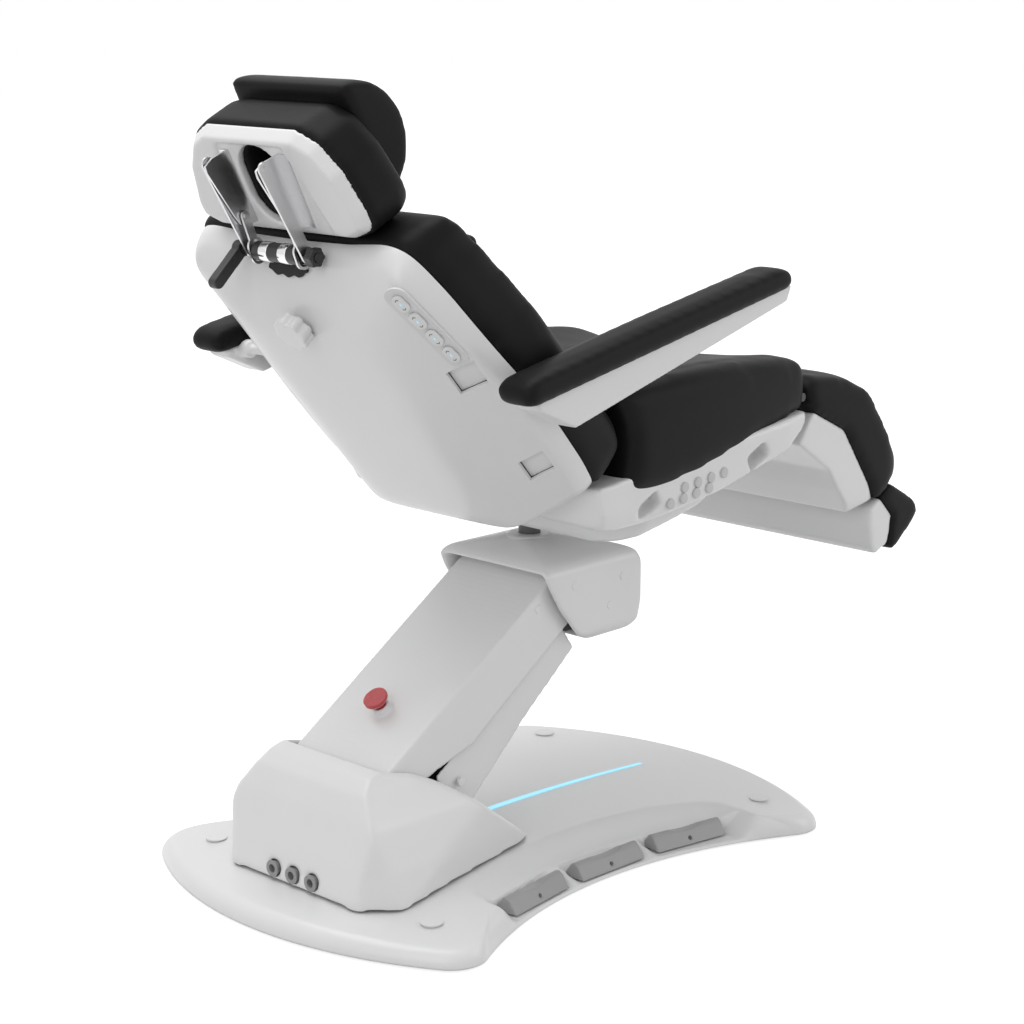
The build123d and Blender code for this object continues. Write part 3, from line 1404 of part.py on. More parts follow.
# Neck mechanism: brackets on the headrest, long links to the tube and short slotted links beside them
head_angle = 90 + headrest_lean
head_place = (headrest_x, headrest_z, head_angle)
link_a_along, link_a_rear = 142.6, 30.4
link_b_along, link_b_rear = 49.6, 14.3
link_a = from_place(head_place, link_a_along, link_a_rear)
link_b = from_place(head_place, link_b_along, link_b_rear)
flat_link = 4.0
link_pin = 4.0
bracket_half_y = 56.0
long_link_y = 62.0
short_link_y = 50.0
long_link_half = 10.0
short_link_half = 7.0
slot_travel = 14.0
slot_play = 3.5
recess_depth = 6.0
flange_width = 18.0
flange_thickness = 2.0
bracket_shares = (
    (1.0, -0.16), (1.02, 0.75), (0.99, 1.2), (0.92, 1.24), (0.38, 0.82), (0.27, 0.68), (0.22, 0.4), (0.2, -0.16),
)
bracket_span = 146.0
bracket_rise = 34.0
with BuildPart() as headrest_brackets:
    for hand in (-1, 1):
        middle = hand * bracket_half_y
        low = middle - flat_link / 2
        plate_points = spread(bracket_shares, bracket_span, bracket_rise)
        add(outline_block(side(*head_place), plate_points, low, low + flat_link))
        flange_low, flange_high = sorted((middle, middle + hand * flange_width))
        foot = bracket_span * bracket_shares[-1][0]
        flange_low_rear = running_gap - recess_depth
        flange_high_rear = flange_thickness - recess_depth
        flange_points = (
            (foot, flange_low_rear), (bracket_span, flange_low_rear), (bracket_span, flange_high_rear),
            (foot, flange_high_rear),
        )
        add(outline_block(side(*head_place), flange_points, flange_low, flange_high))
        ends = sorted((hand * (bracket_half_y - flat_link / 2), hand * (long_link_y + flat_link)))
        add(pins(side(0, 0), (link_a,), link_pin, ends[0], ends[1]))
        ends = sorted((hand * (short_link_y - flat_link), hand * bracket_half_y))
        add(pins(side(0, 0), (link_b,), link_pin, ends[0], ends[1]))
finish(headrest_brackets, "headrest_brackets")

with BuildPart() as long_links:
    for hand in (-1, 1):
        low = hand * long_link_y - flat_link / 2
        bores = ((0, link_pin + running_gap), (1, stub_radius + running_gap))
        add(bar(link_a, neck, long_link_half, low, low + flat_link, bores))
finish(long_links, "long_links")

with BuildPart() as short_links:
    for hand in (-1, 1):
        low = hand * short_link_y - flat_link / 2
        add(bar(link_b, neck, short_link_half, low, low + flat_link))
        plane = side(link_b[0], link_b[1], degrees(atan2(neck_z - link_b[1], neck_x - link_b[0])))
        reach = hypot(neck_x - link_b[0], neck_z - link_b[1])
        with BuildSketch(plane.offset(low)):
            with Locations((reach, 0)):
                SlotCenterToCenter(slot_travel, 2 * (stub_radius + slot_play + flat_link))
        extrude(amount=flat_link)
        with BuildSketch(plane.offset(low)):
            with Locations((reach, 0)):
                SlotCenterToCenter(slot_travel, 2 * (stub_radius + slot_play))
            Circle(link_pin + running_gap)
        extrude(amount=flat_link, mode=Mode.SUBTRACT)
finish(short_links, "short_links")

# Clamp lever on the tube's far end and a small knob on its near end
lever_reach = 66.0
lever_turn = -136.0
clamp_low = 78.0
clamp_thickness = 16.0
clamp_hub = 12.0
clamp_half = 9.0
tension_radius = 15.0
tension_low = 69.0
tension_thickness = 14.0
tension_lobes = 6
tension_lobe = 4.0
lever_end = (neck_x + lever_reach * cos(radians(lever_turn)), neck_z + lever_reach * sin(radians(lever_turn)))
with BuildPart() as lock_lever:
    low = -clamp_low - clamp_thickness
    add(pins(side(0, 0), (neck,), clamp_hub, low, -clamp_low))
    add(bar(neck, lever_end, clamp_half, low, -clamp_low))
    add(pins(side(0, 0), (neck,), stub_radius + running_gap, low - overrun, overrun - clamp_low), mode=Mode.SUBTRACT)
finish(lock_lever, "lock_lever")

with BuildPart() as tension_knob:
    with BuildSketch(side(neck_x, neck_z).offset(tension_low)):
        Circle(tension_radius - tension_lobe / 2)
        with PolarLocations(tension_radius - tension_lobe, tension_lobes):
            Circle(tension_lobe)
        Circle(stub_radius + running_gap, mode=Mode.SUBTRACT)
    extrude(amount=tension_thickness)
finish(tension_knob, "tension_knob")

# Headrest: winged shell with a breathing hole, its cushion, and a neck pillow on the front
head_shell_depth = 20.0
head_taper = 35.0
hole_half_width = 47.0
hole_low = 30.0
hole_high = 155.0
head_outline_shares = (
    (0.54, 0.973), (0.74, 0.87), (0.9, 0.64), (1.0, 0.3), (0.99, 0.135), (0.76, 0.045),
)
recess_shares = ((0.39, 0.86), (0.63, 0.1))
head_outline = mirrored(spread(head_outline_shares, headrest_half_width, headrest_height))
head_recess = mirrored(spread(recess_shares, headrest_half_width, headrest_height))
head_cushion_front = 60.0
head_cushion_crown = 22.0
cushion_taper = 25.0
pillow_half = 122.0
pillow_low = 20.0
pillow_high = 200.0
pillow_bulge = 80.0
head_face = face(*head_place)


with BuildPart() as breathing_hole:
    with BuildSketch(head_face.offset(head_shell_depth)):
        with Locations((0, (hole_low + hole_high) / 2)):
            SlotOverall(hole_high - hole_low, 2 * hole_half_width, rotation=90)
    extrude(amount=-3 * head_shell_depth - head_cushion_front - head_cushion_crown)
with BuildPart() as headrest_shell:
    with BuildSketch(head_face.offset(-head_shell_depth)) as drawn:
        with BuildLine():
            Polyline(*head_outline, close=True)
        make_face()
        fillet(drawn.vertices(), head_shell_depth)
    extrude(amount=head_shell_depth, taper=head_taper)
    add(outline_block(head_face, head_recess, -recess_depth, overrun), mode=Mode.SUBTRACT)
    add(breathing_hole.part, mode=Mode.SUBTRACT)
finish(headrest_shell, "headrest_shell")

with BuildPart() as headrest_cushion:
    with BuildSketch(head_face.offset(-head_shell_depth - running_gap)) as drawn:
        with BuildLine():
            Polyline(*head_outline, close=True)
        make_face()
        fillet(drawn.vertices(), head_shell_depth)
    extrude(amount=-head_cushion_front)
    with BuildSketch(head_face.offset(-head_shell_depth - running_gap - head_cushion_front)) as drawn:
        with BuildLine():
            Polyline(*head_outline, close=True)
        make_face()
        fillet(drawn.vertices(), head_shell_depth)
    extrude(amount=-head_cushion_crown, taper=cushion_taper)
    add(breathing_hole.part, mode=Mode.SUBTRACT)
finish(headrest_cushion, "headrest_cushion")

pillow_rear = -head_shell_depth - head_cushion_front - head_cushion_crown - gap
with BuildPart() as head_pillow:
    with BuildSketch(side(*head_place)):
        with BuildLine():
            Line((pillow_low, pillow_rear), (pillow_high, pillow_rear))
            ThreePointArc(
                (pillow_high, pillow_rear), ((pillow_low + pillow_high) / 2, pillow_rear - pillow_bulge),
                (pillow_low, pillow_rear),
            )
        make_face()
    extrude(amount=pillow_half, both=True)
finish(head_pillow, "head_pillow")

# Leg frame: barrel in front of the seat, with plates down into the calf shell and the drive's lever pin
leg_barrel = 7.0
leg_plate_run = 57.0
leg_plate_drop = 98.0
leg_plate_shares = (
    (-0.07, 0.0), (0.088, -0.01), (0.193, -0.276), (1.0, -0.745), (0.737, -1.0), (0.053, -0.459), (-0.053, -0.133),
)
leg_plate_points = spread(leg_plate_shares, leg_plate_run, leg_plate_drop)
leg_plate_y = 84.0
leg_plate_inner_y = 28.0
leg_barrel_half = 255.0
with BuildPart() as leg_frame:
    for hand in (-1, 1):
        arm_low = hinge_arm_y - hinge_arm_thickness / 2 - gap
        arm_high = hinge_arm_y + hinge_arm_thickness / 2 + gap
        ends = sorted((hand * arm_high, hand * leg_barrel_half))
        add(pins(side(0, 0), (leg_pivot,), leg_barrel, ends[0], ends[1]))
        for place in (leg_plate_y, leg_plate_inner_y):
            low = hand * place - plate / 2
            add(outline_block(side(*leg_pivot), leg_plate_points, low, low + plate))
    add(pins(side(0, 0), (leg_pivot,), leg_barrel, -arm_low, arm_low))
    add(pins(side(0, 0), (leg_pivot,), leg_pin, -leg_barrel_half, leg_barrel_half))
    add(pins(side(0, 0), (leg_lever,), drive_pin, -leg_plate_inner_y, leg_plate_inner_y))
finish(leg_frame, "leg_frame")

# Calf rest: closed shell behind a thick cushion, falling away from the seat's front
calf_shell_shares = (
    (0.178, 0.997), (0.563, 0.785), (1.0, 0.085), (0.688, 0.0), (0.526, 0.228), (0.386, 0.45), (0.0, 0.74),
)
calf_cushion_shares = (
    (0.0, 0.918), (0.055, 1.0), (0.41, 0.94), (0.634, 0.819), (1.0, 0.263), (0.992, 0.203), (0.972, 0.155),
    (0.764, 0.0), (0.744, 0.019), (0.374, 0.589), (0.047, 0.765), (0.016, 0.819),
)
calf_rear_x = 445.0
calf_low_z = 497.0
calf_shell_length = 215.0
calf_shell_height = 190.0
calf_cushion_rear_x = 472.0
calf_cushion_low_z = 510.0
calf_cushion_length = 254.0
calf_cushion_height = 232.0
calf_place = (calf_rear_x, calf_low_z, 0)
calf_cross_shares = ((1.0, 1.0), (1.0, 0.12), (0.96, 0.0))
calf_plan_shares = ((0.97, 1.0), (1.0, 0.9), (1.0, 0.0))
calf_views = (
    spread(calf_shell_shares, calf_shell_length, calf_shell_height),
    mirrored(spread(calf_cross_shares, leg_half_width, calf_shell_height)),
    mirrored(spread(calf_plan_shares, leg_half_width, calf_shell_length)),
)
rail_radius = 7.0
foot_rail_y = 150.0
rail_start = (668.0, 470.0)
rail_length = 192.0
leg_slope_turn = radians(leg_slope)
rail_end = (
    rail_start[0] - rail_length * cos(leg_slope_turn),
    rail_start[1] + rail_length * sin(leg_slope_turn),
)
with BuildPart() as calf_shell:
    add(sculpted(calf_place, calf_views, seat_reach))
    add(sculpted(calf_place, calf_views, seat_reach, inset=cover_wall), mode=Mode.SUBTRACT)
    add(
        box_cut(
            calf_rear_x - overrun, leg_lever[0] + 3 * leg_barrel, -leg_plate_y - plate, leg_plate_y + plate,
            leg_lever[1] - 4 * leg_barrel, leg_pivot_z,
        ),
        mode=Mode.SUBTRACT,
    )
    for hand in (-1, 1):
        add(rod(rail_start, rail_end, rail_radius + gap, hand * foot_rail_y), mode=Mode.SUBTRACT)
finish(calf_shell, "calf_shell")

calf_cushion_place = (calf_cushion_rear_x, calf_cushion_low_z, 0)
calf_pad_cross_shares = ((0.9, 1.0), (0.98, 0.96), (1.0, 0.8), (1.0, 0.0))
calf_pad_plan_shares = ((0.9, 1.0), (0.98, 0.96), (1.0, 0.85), (1.0, 0.0))
calf_pad_views = (
    spread(calf_cushion_shares, calf_cushion_length, calf_cushion_height),
    mirrored(spread(calf_pad_cross_shares, leg_half_width, calf_cushion_height)),
    mirrored(spread(calf_pad_plan_shares, leg_half_width, calf_cushion_length)),
)
with BuildPart() as calf_cushion:
    add(sculpted(calf_cushion_place, calf_pad_views, seat_reach))
finish(calf_cushion, "calf_cushion")

# Footrest: a short pad on two rails that slide in the calf shell
foot_rear_x = 646.0
foot_low_z = 413.0
foot_length = 137.0
foot_height = 118.0
foot_shell_shares = (
    (0.219, 0.847), (0.015, 0.686), (0.0, 0.483), (0.066, 0.102), (0.139, 0.0), (0.416, 0.127), (0.474, 0.551),
)
foot_cushion_shares = (
    (0.226, 0.852), (0.48, 0.551), (0.423, 0.119), (0.511, 0.025), (0.89, 0.356), (1.0, 0.517), (0.934, 0.669),
    (0.423, 1.0),
)
foot_place = (foot_rear_x, foot_low_z, 0)
foot_shell_points = spread(foot_shell_shares, foot_length, foot_height)
with BuildPart() as foot_rails:
    for hand in (-1, 1):
        add(rod(rail_start, rail_end, rail_radius, hand * foot_rail_y))
    add(pins(side(0, 0), (rail_start,), rail_radius, -foot_rail_y - rail_radius, foot_rail_y + rail_radius))
finish(foot_rails, "foot_rails")

with BuildPart() as foot_shell:
    add(outline_block(side(*foot_place), foot_shell_points, -leg_half_width, leg_half_width))
    add(
        outline_block(
            side(*foot_place), foot_shell_points, cover_wall - leg_half_width, leg_half_width - cover_wall,
            inset=cover_wall,
        ),
        mode=Mode.SUBTRACT,
    )
    for hand in (-1, 1):
        add(rod(rail_start, rail_end, rail_radius + running_gap, hand * foot_rail_y), mode=Mode.SUBTRACT)
finish(foot_shell, "foot_shell")

with BuildPart() as foot_cushion:
    add(
        outline_block(
            side(*foot_place), spread(foot_cushion_shares, foot_length, foot_height), -leg_half_width, leg_half_width
        )
    )
finish(foot_cushion, "foot_cushion")
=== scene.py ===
from math import cos, pi, radians, sin

import bpy
import numpy as np
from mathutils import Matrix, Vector


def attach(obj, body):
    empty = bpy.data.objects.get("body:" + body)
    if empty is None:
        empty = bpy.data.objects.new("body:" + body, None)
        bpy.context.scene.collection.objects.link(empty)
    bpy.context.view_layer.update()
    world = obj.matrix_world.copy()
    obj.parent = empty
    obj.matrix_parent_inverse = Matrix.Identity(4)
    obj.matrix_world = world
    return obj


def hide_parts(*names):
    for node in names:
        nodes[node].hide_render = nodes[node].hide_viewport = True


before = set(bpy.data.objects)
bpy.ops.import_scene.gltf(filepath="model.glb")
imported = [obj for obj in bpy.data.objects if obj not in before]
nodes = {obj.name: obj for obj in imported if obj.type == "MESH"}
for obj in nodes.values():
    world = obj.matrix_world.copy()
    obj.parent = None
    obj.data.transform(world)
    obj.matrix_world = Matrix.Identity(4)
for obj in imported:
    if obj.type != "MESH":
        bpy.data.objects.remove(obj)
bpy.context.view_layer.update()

# Base cover
# A single white shell moulded in gloss plastic over the floor plate. It dips to a ledge on the sitter's
# right, where the three pedals stand, and its rim hides the levelling feet.


class Value:
    """A shader socket that is added and multiplied like a number."""

    def __init__(self, tree, socket):
        self.tree = tree
        self.socket = socket

    def maths(self, operation, first, second):
        node = self.tree.nodes.new("ShaderNodeMath")
        node.operation = operation
        put(self.tree, first, node.inputs[0])
        put(self.tree, second, node.inputs[1])
        return Value(self.tree, node.outputs[0])

    def __add__(self, other):
        return self.maths("ADD", self, other)

    def __radd__(self, other):
        return self.maths("ADD", other, self)

    def __mul__(self, other):
        return self.maths("MULTIPLY", self, other)

    def __rmul__(self, other):
        return self.maths("MULTIPLY", other, self)


def put(tree, value, socket):
    """Links a value to a socket, or sets the socket to a plain number or colour."""
    if isinstance(value, Value):
        tree.links.new(value.socket, socket)
    else:
        socket.default_value = value


class Finish:
    """A material and its nodes, with the shader that all of them feed."""

    def __init__(self, name, **sockets):
        self.material = bpy.data.materials.new(name)
        self.material.use_nodes = True
        self.tree = self.material.node_tree
        self.shader = self.tree.nodes["Principled BSDF"]
        self.place = self.node("TexCoord", output="Object")
        self.set(**sockets)

    def node(self, kind, settings=(), output=0, **sockets):
        node = self.tree.nodes.new("ShaderNode" + kind)
        for key, value in dict(settings).items():
            setattr(node, key, value)
        for key, value in sockets.items():
            put(self.tree, value, node.inputs[key.replace("_", " ")])
        return Value(self.tree, node.outputs[output])

    def noise(self, scale, detail=2.0):
        return self.node("TexNoise", Vector=self.place, Scale=scale, Detail=detail)

    def between(self, share, low, high):
        return low + share * (high - low)

    def blend(self, share, first, second):
        node = self.tree.nodes.new("ShaderNodeMix")
        node.data_type = "RGBA"
        for spot, value in ((0, share), (6, first), (7, second)):
            put(self.tree, value, node.inputs[spot])
        return Value(self.tree, node.outputs[2])

    def bump(self, height, strength, depth):
        self.set(Normal=self.node("Bump", Height=height, Strength=strength, Distance=depth))

    def set(self, **sockets):
        for key, value in sockets.items():
            put(self.tree, value, self.shader.inputs[key.replace("_", " ")])


def moulded_plastic(name, colour, shade, roughness=0.3, grain=0.05):
    """Satin moulded plastic: a faint change of tone over a hand's breadth and a fine skin in the gloss."""
    finish = Finish(name, Specular_IOR_Level=0.5, Coat_Roughness=0.2)
    broad = finish.noise(scale=7.0)
    skin = finish.noise(scale=1100.0, detail=1.0)
    finish.set(Base_Color=finish.blend(broad, shade, colour))
    finish.set(Roughness=finish.between(broad, roughness - 0.05, roughness + 0.06))
    finish.bump(skin, strength=grain, depth=0.0003)
    return finish.material


white_plastic = moulded_plastic("white plastic", (0.80, 0.80, 0.80, 1), (0.76, 0.762, 0.765, 1))


def pick(piece):
    """Leaves one piece selected and active."""
    bpy.ops.object.select_all(action="DESELECT")
    piece.select_set(True)
    bpy.context.view_layer.objects.active = piece


def shaped(piece, kind, **settings):
    """Adds a modifier with its settings and applies it at once."""
    pick(piece)
    modifier = piece.modifiers.new(kind, kind)
    for key, value in settings.items():
        setattr(modifier, key, value)
    bpy.ops.object.modifier_apply(modifier=modifier.name)


def in_edit(piece, *steps):
    """Runs edit-mode operators one after another on everything in the piece."""
    pick(piece)
    bpy.ops.object.mode_set(mode="EDIT")
    bpy.ops.mesh.select_all(action="SELECT")
    for step in steps:
        step()
    bpy.ops.object.mode_set(mode="OBJECT")


merge_reach = 0.00001
most_faces = 95000
smooth_factor = 0.5
crease = 40
fine_crease = 30


def blank(name, source):
    """A new piece over the outer form of a construction solid, merged to one clean mesh."""
    piece = bpy.data.objects.new(name, nodes[source].data.copy())
    bpy.context.scene.collection.objects.link(piece)
    piece.data.materials.clear()
    in_edit(piece, lambda: bpy.ops.mesh.remove_doubles(threshold=merge_reach))
    return piece


def carved(piece, centre, size, turn=0):
    """Cuts a block out of a piece: its middle, its size, and its turn about the sideways axis."""
    bpy.ops.object.select_all(action="DESELECT")
    bpy.ops.mesh.primitive_cube_add(size=1, location=centre, rotation=(0, radians(turn), 0), scale=size)
    tool = bpy.context.object
    shaped(piece, "BOOLEAN", operation="DIFFERENCE", solver="EXACT", object=tool)
    bpy.data.objects.remove(tool)


def formed(name, around, along, place):
    """A surface laid over a fine grid by a function of two shares from 0 to 1, merged where it closes."""
    bpy.ops.object.select_all(action="DESELECT")
    bpy.ops.mesh.primitive_grid_add(x_subdivisions=around, y_subdivisions=along, size=1)
    piece = bpy.context.object
    piece.name = name
    flat = points_of(piece) + 0.5
    lay_points(piece, place(flat[:, 0], flat[:, 1]))
    in_edit(
        piece,
        lambda: bpy.ops.mesh.remove_doubles(threshold=merge_reach),
        lambda: bpy.ops.mesh.normals_make_consistent(inside=False),
    )
    return piece


def points_of(piece):
    points = np.empty(3 * len(piece.data.vertices), np.float32)
    piece.data.vertices.foreach_get("co", points)
    return points.reshape(-1, 3).astype(float)


def lay_points(piece, points):
    piece.data.vertices.foreach_set("co", points.astype(np.float32).ravel())
    piece.data.update()


def moulded(name, source, body, slot, finish, grid, softening, hull=False, cuts=()):
    """A shell as it leaves its mould: the solid's form on an even grid, with its edges softened."""
    piece = blank(name, source)
    if hull:
        in_edit(piece, bpy.ops.mesh.convex_hull)
    for cut in cuts:
        carved(piece, *cut)
    shaped(piece, "REMESH", mode="VOXEL", voxel_size=grid)
    shaped(piece, "SMOOTH", factor=smooth_factor, iterations=softening)
    if len(piece.data.polygons) > most_faces:
        shaped(piece, "DECIMATE", ratio=most_faces / len(piece.data.polygons))
    return placed(piece, body, slot, finish, source)


def placed(piece, body, slot, finish, *sources, angle=None):
    """Gives a finished piece its material and its body, and hides the nodes that it stands for."""
    pick(piece)
    piece.data.materials.clear()
    piece.data.materials.append(finish)
    if angle is None:
        bpy.ops.object.shade_smooth()
    else:
        bpy.ops.object.shade_smooth_by_angle(angle=radians(angle))
    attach(piece, body)
    if sources:
        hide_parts(*sources)
    return piece


base_half_length = 0.524
base_waist = 0.253
base_corner = (0.402, 0.371)
base_corner_radius = 0.055
base_crown = 0.058
base_fall = 0.026
base_wall = 0.003
corner_points = 46
base_rings = 80
ring_crowding = 1.8
base_foot = 0.005
rim_width = 0.024
end_rise = base_half_length - base_corner[0]
waist_rise = base_corner[1] - base_waist
end_radius = (base_corner[1] ** 2 + end_rise ** 2) / (2 * end_rise)
waist_radius = (base_corner[0] ** 2 + waist_rise ** 2) / (2 * waist_rise)
dome_radius = (base_half_length ** 2 + base_fall ** 2) / (2 * base_fall)
end_centre = np.array((base_half_length - end_radius, 0))
waist_centre = np.array((0, base_waist + waist_radius))
pedal_row_x = 0.019
pedal_pitch = 0.1745
pedal_row_half = 0.250
pedal_depth = 0.048
pedal_floor = 0.0095
pedal_wall_top = 0.030
bay_slope = 0.060
bay_fade = 0.045
bay_step = 0.003
mound_half = 0.003
mound_reach = 0.015
ledge_reach = 0.004


def base_quarter(count):
    """Points of the outline from the waist's middle, round one corner, to the end's middle."""
    apart = np.linalg.norm(waist_centre - end_centre)
    to_end = end_radius - base_corner_radius
    to_waist = waist_radius + base_corner_radius
    along = (to_end ** 2 - to_waist ** 2 + apart ** 2) / (2 * apart)
    way = (waist_centre - end_centre) / apart
    side = np.array((way[1], -way[0]))
    corner = end_centre + along * way + np.sqrt(to_end ** 2 - along ** 2) * side
    turn_waist = np.arctan2(*(corner - waist_centre)[::-1])
    turn_end = np.arctan2(*(corner - end_centre)[::-1])
    arcs = (
        (waist_centre, waist_radius, -pi / 2, turn_waist),
        (corner, base_corner_radius, turn_waist + pi, turn_end),
        (end_centre, end_radius, turn_end, 0),
    )
    points = []
    for centre, radius, first, last in arcs:
        turns = np.linspace(first, last, count)[:-1]
        points += [centre + radius * np.array((cos(turn), sin(turn))) for turn in turns]
    points.append(np.array((base_half_length, 0)))
    return np.array(points)


def base_outline():
    quarter = base_quarter(corner_points)
    back = quarter[::-1] * (1, -1)
    half = np.concatenate((quarter, back[1:]))
    return np.concatenate((half, half[::-1][1:] * (-1, 1)))


def eased(value, low, high):
    """Rises smoothly from 0 at one value to 1 at another."""
    share = np.clip((value - low) / (high - low), 0, 1)
    return share * share * (3 - 2 * share)


def base_top(x, y, inward):
    """Height of the cover: a shallow dome, rounded down at its rim and lowered round the pedals."""
    crown = base_crown - (x ** 2 + y ** 2) / (2 * dome_radius)
    lip = np.sqrt(np.clip(1 - (1 - np.clip(inward / rim_width, 0, 1)) ** 2, 0, 1))
    dome = base_foot + (crown - base_foot) * lip
    deep = np.hypot(x, y + waist_centre[1]) - waist_radius
    along = x - pedal_row_x
    between = np.abs(np.abs(along) - pedal_pitch / 2)
    wall = pedal_wall_top - pedal_floor
    mound = wall * np.clip(deep / pedal_depth, 0, 1) * (1 - eased(between, mound_half, mound_reach))
    bay = pedal_floor + mound + (wall - mound) * eased(deep, pedal_depth, pedal_depth + bay_step)
    bay += (dome - pedal_wall_top) * eased(deep, pedal_depth, pedal_depth + bay_slope)
    bay = base_foot + (bay - base_foot) * np.sqrt(np.clip(deep / ledge_reach, 0, 1))
    outside = eased(np.abs(along), pedal_row_half, pedal_row_half + bay_fade)
    near = (y < 0) & (np.abs(along) < pedal_row_half + bay_fade)
    return np.where(near, np.minimum(dome, bay * (1 - outside) + dome * outside), dome)


def rings(outline, middle, u, v):
    """Spreads a grid over an outline in rings that crowd to it, with each point's way in from the edge."""
    ways = np.roll(outline, -1, axis=0) - np.roll(outline, 1, axis=0)
    outward = np.stack((ways[:, 1], -ways[:, 0]), axis=1)
    outward /= np.linalg.norm(outward, axis=1, keepdims=True)
    outward *= np.sign(np.sum(outward * (outline - middle), axis=1, keepdims=True))
    spot = np.rint(u * len(outline)).astype(int) % len(outline)
    edge = outline[spot]
    flat = edge + (middle - edge) * ((1 - v) ** ring_crowding)[:, None]
    inward = np.sum((edge - flat) * outward[spot], axis=1)
    return flat, inward


def base_surface(u, v):
    flat, inward = rings(base_outline()[::-1], np.zeros(2), u, v)
    return np.column_stack((flat, base_top(flat[:, 0], flat[:, 1], inward)))


cover = formed("base_cover_shell", len(base_outline()), base_rings, base_surface)
shaped(cover, "SOLIDIFY", thickness=base_wall, offset=-1)
placed(cover, "base", "white_shell", white_plastic, "base_cover")

# Access caps, feet, floor plate and light strip
# Round push-in caps over the levelling screws, rubber feet under a powder-coated plate, and a lit strip
# of clear plastic let into the cover's crown.


def finished(material, *names):
    """Gives construction nodes that keep their own shape their material."""
    for name in names:
        nodes[name].data.materials.clear()
        nodes[name].data.materials.append(material)


def rubber():
    finish = Finish("black rubber", Base_Color=(0.03, 0.03, 0.03, 1))
    finish.set(Roughness=finish.between(finish.noise(scale=300.0), 0.6, 0.85))
    return finish.material


def powder_coat(name, colour, shade):
    """Powder-coated steel: an even colour with the fine orange peel of the baked powder."""
    finish = Finish(name)
    peel = finish.noise(scale=600.0)
    finish.set(Base_Color=finish.blend(finish.noise(scale=12.0), shade, colour))
    finish.set(Roughness=finish.between(peel, 0.4, 0.55))
    finish.bump(peel, strength=0.2, depth=0.0003)
    return finish.material


def lit_strip():
    finish = Finish("lit strip", Roughness=0.3, Emission_Strength=0.75, Base_Color=(0.15, 0.4, 0.5, 1))
    glow = finish.noise(scale=18.0)
    finish.set(Emission_Color=finish.blend(glow, (0.25, 0.70, 0.95, 1), (0.36, 0.80, 1.0, 1)))
    return finish.material


dark_steel = powder_coat("dark coated steel", (0.10, 0.10, 0.105, 1), (0.08, 0.08, 0.085, 1))
strip_light = lit_strip()
finished(white_plastic, "access_caps")
finished(rubber(), "levelling_feet")
finished(dark_steel, "base_frame", "pedal_pivots")
finished(strip_light, "light_strip")

# Column boot and its sockets
# A white moulded cover over the lift's lower pivots, with low sloping sides that run forward beside the
# arm, and three socket inserts of grey plastic pressed into its back wall.

moulded("column_boot_shell", "column_boot", "base", "white_shell", white_plastic, grid=0.003, softening=45)
grey_colours = ((0.30, 0.30, 0.305, 1), (0.27, 0.27, 0.275, 1))
grey_plastic = moulded_plastic("grey plastic", *grey_colours, roughness=0.4)
finished(grey_plastic, "rear_sockets")

# Foot pedals
# Three rocking pedals of mid grey plastic in the base cover's bay, each with a saddle between raised
# ends, which a foot tips one way or the other.

pedal_colours = ((0.36, 0.36, 0.36, 1), (0.32, 0.32, 0.32, 1))
pedal_grey = moulded_plastic("pedal grey", *pedal_colours, roughness=0.42, grain=0.12)
for pedal in ("pedal_rear", "pedal_middle", "pedal_front"):
    moulded(pedal + "_tread", pedal, pedal, "pedal_grey", pedal_grey, grid=0.0015, softening=5)

# Lifting arm and link
# The arm is a white cover round a steel frame, and the link below it a second one. Round plugs hide
# their screws, and a red mushroom button stands on the arm's upper face.

moulded("arm_cover_shell", "arm_cover", "arm", "white_shell", white_plastic, grid=0.0028, softening=6)
moulded("link_cover_shell", "link_cover", "link", "white_shell", white_plastic, grid=0.0028, softening=6)
finished(dark_steel, "arm_frame", "link_bars", "lift_actuator")


plug_radius = 0.007
plug_height = 0.006
plug_edge = 0.0014


def button(place, radius, height, edge, sides=32):
    """A short round piece that faces sideways, with softened edges."""
    bpy.ops.object.select_all(action="DESELECT")
    bpy.ops.mesh.primitive_cylinder_add(
        vertices=sides, radius=radius, depth=height, location=place, rotation=(pi / 2, 0, 0)
    )
    piece = bpy.context.object
    shaped(piece, "BEVEL", width=edge, segments=3, limit_method="ANGLE")
    bpy.ops.object.transform_apply(location=True, rotation=True, scale=True)
    return piece


def joined(name, pieces):
    """Makes one piece of several, under one name."""
    bpy.ops.object.select_all(action="DESELECT")
    for piece in pieces:
        piece.select_set(True)
    bpy.context.view_layer.objects.active = pieces[0]
    if len(pieces) > 1:
        bpy.ops.object.join()
    pieces[0].name = name
    return pieces[0]


def plugs(name, side, places, body):
    """Shallow round plugs pressed over the screws in a cover's side walls."""
    spots = [(x, hand * side, z) for hand in (-1, 1) for x, z in places]
    shown = [button(spot, plug_radius, plug_height, plug_edge) for spot in spots]
    placed(joined(name, shown), body, "white_shell", white_plastic, angle=crease)


plugs("arm_screw_plugs", 0.104, ((-0.177, 0.171), (-0.006, 0.415)), "arm")


def gloss_red():
    finish = Finish("gloss red", Coat_Weight=0.4, Coat_Roughness=0.1)
    cloud = finish.noise(scale=60.0)
    finish.set(Base_Color=finish.blend(cloud, (0.42, 0.025, 0.035, 1), (0.52, 0.04, 0.045, 1)))
    finish.set(Roughness=finish.between(cloud, 0.22, 0.32))
    return finish.material


def polished_rod():
    finish = Finish("polished rod", Base_Color=(0.75, 0.75, 0.76, 1), Metallic=1.0)
    finish.set(Roughness=finish.between(finish.noise(scale=90.0), 0.08, 0.2))
    return finish.material


bright_steel = polished_rod()
moulded("stop_button_cap", "stop_button", "stop", "stop_red", gloss_red(), grid=0.0009, softening=5)
finished(bright_steel, "lift_rod", "tilt_rod", "back_rod", "leg_rod")

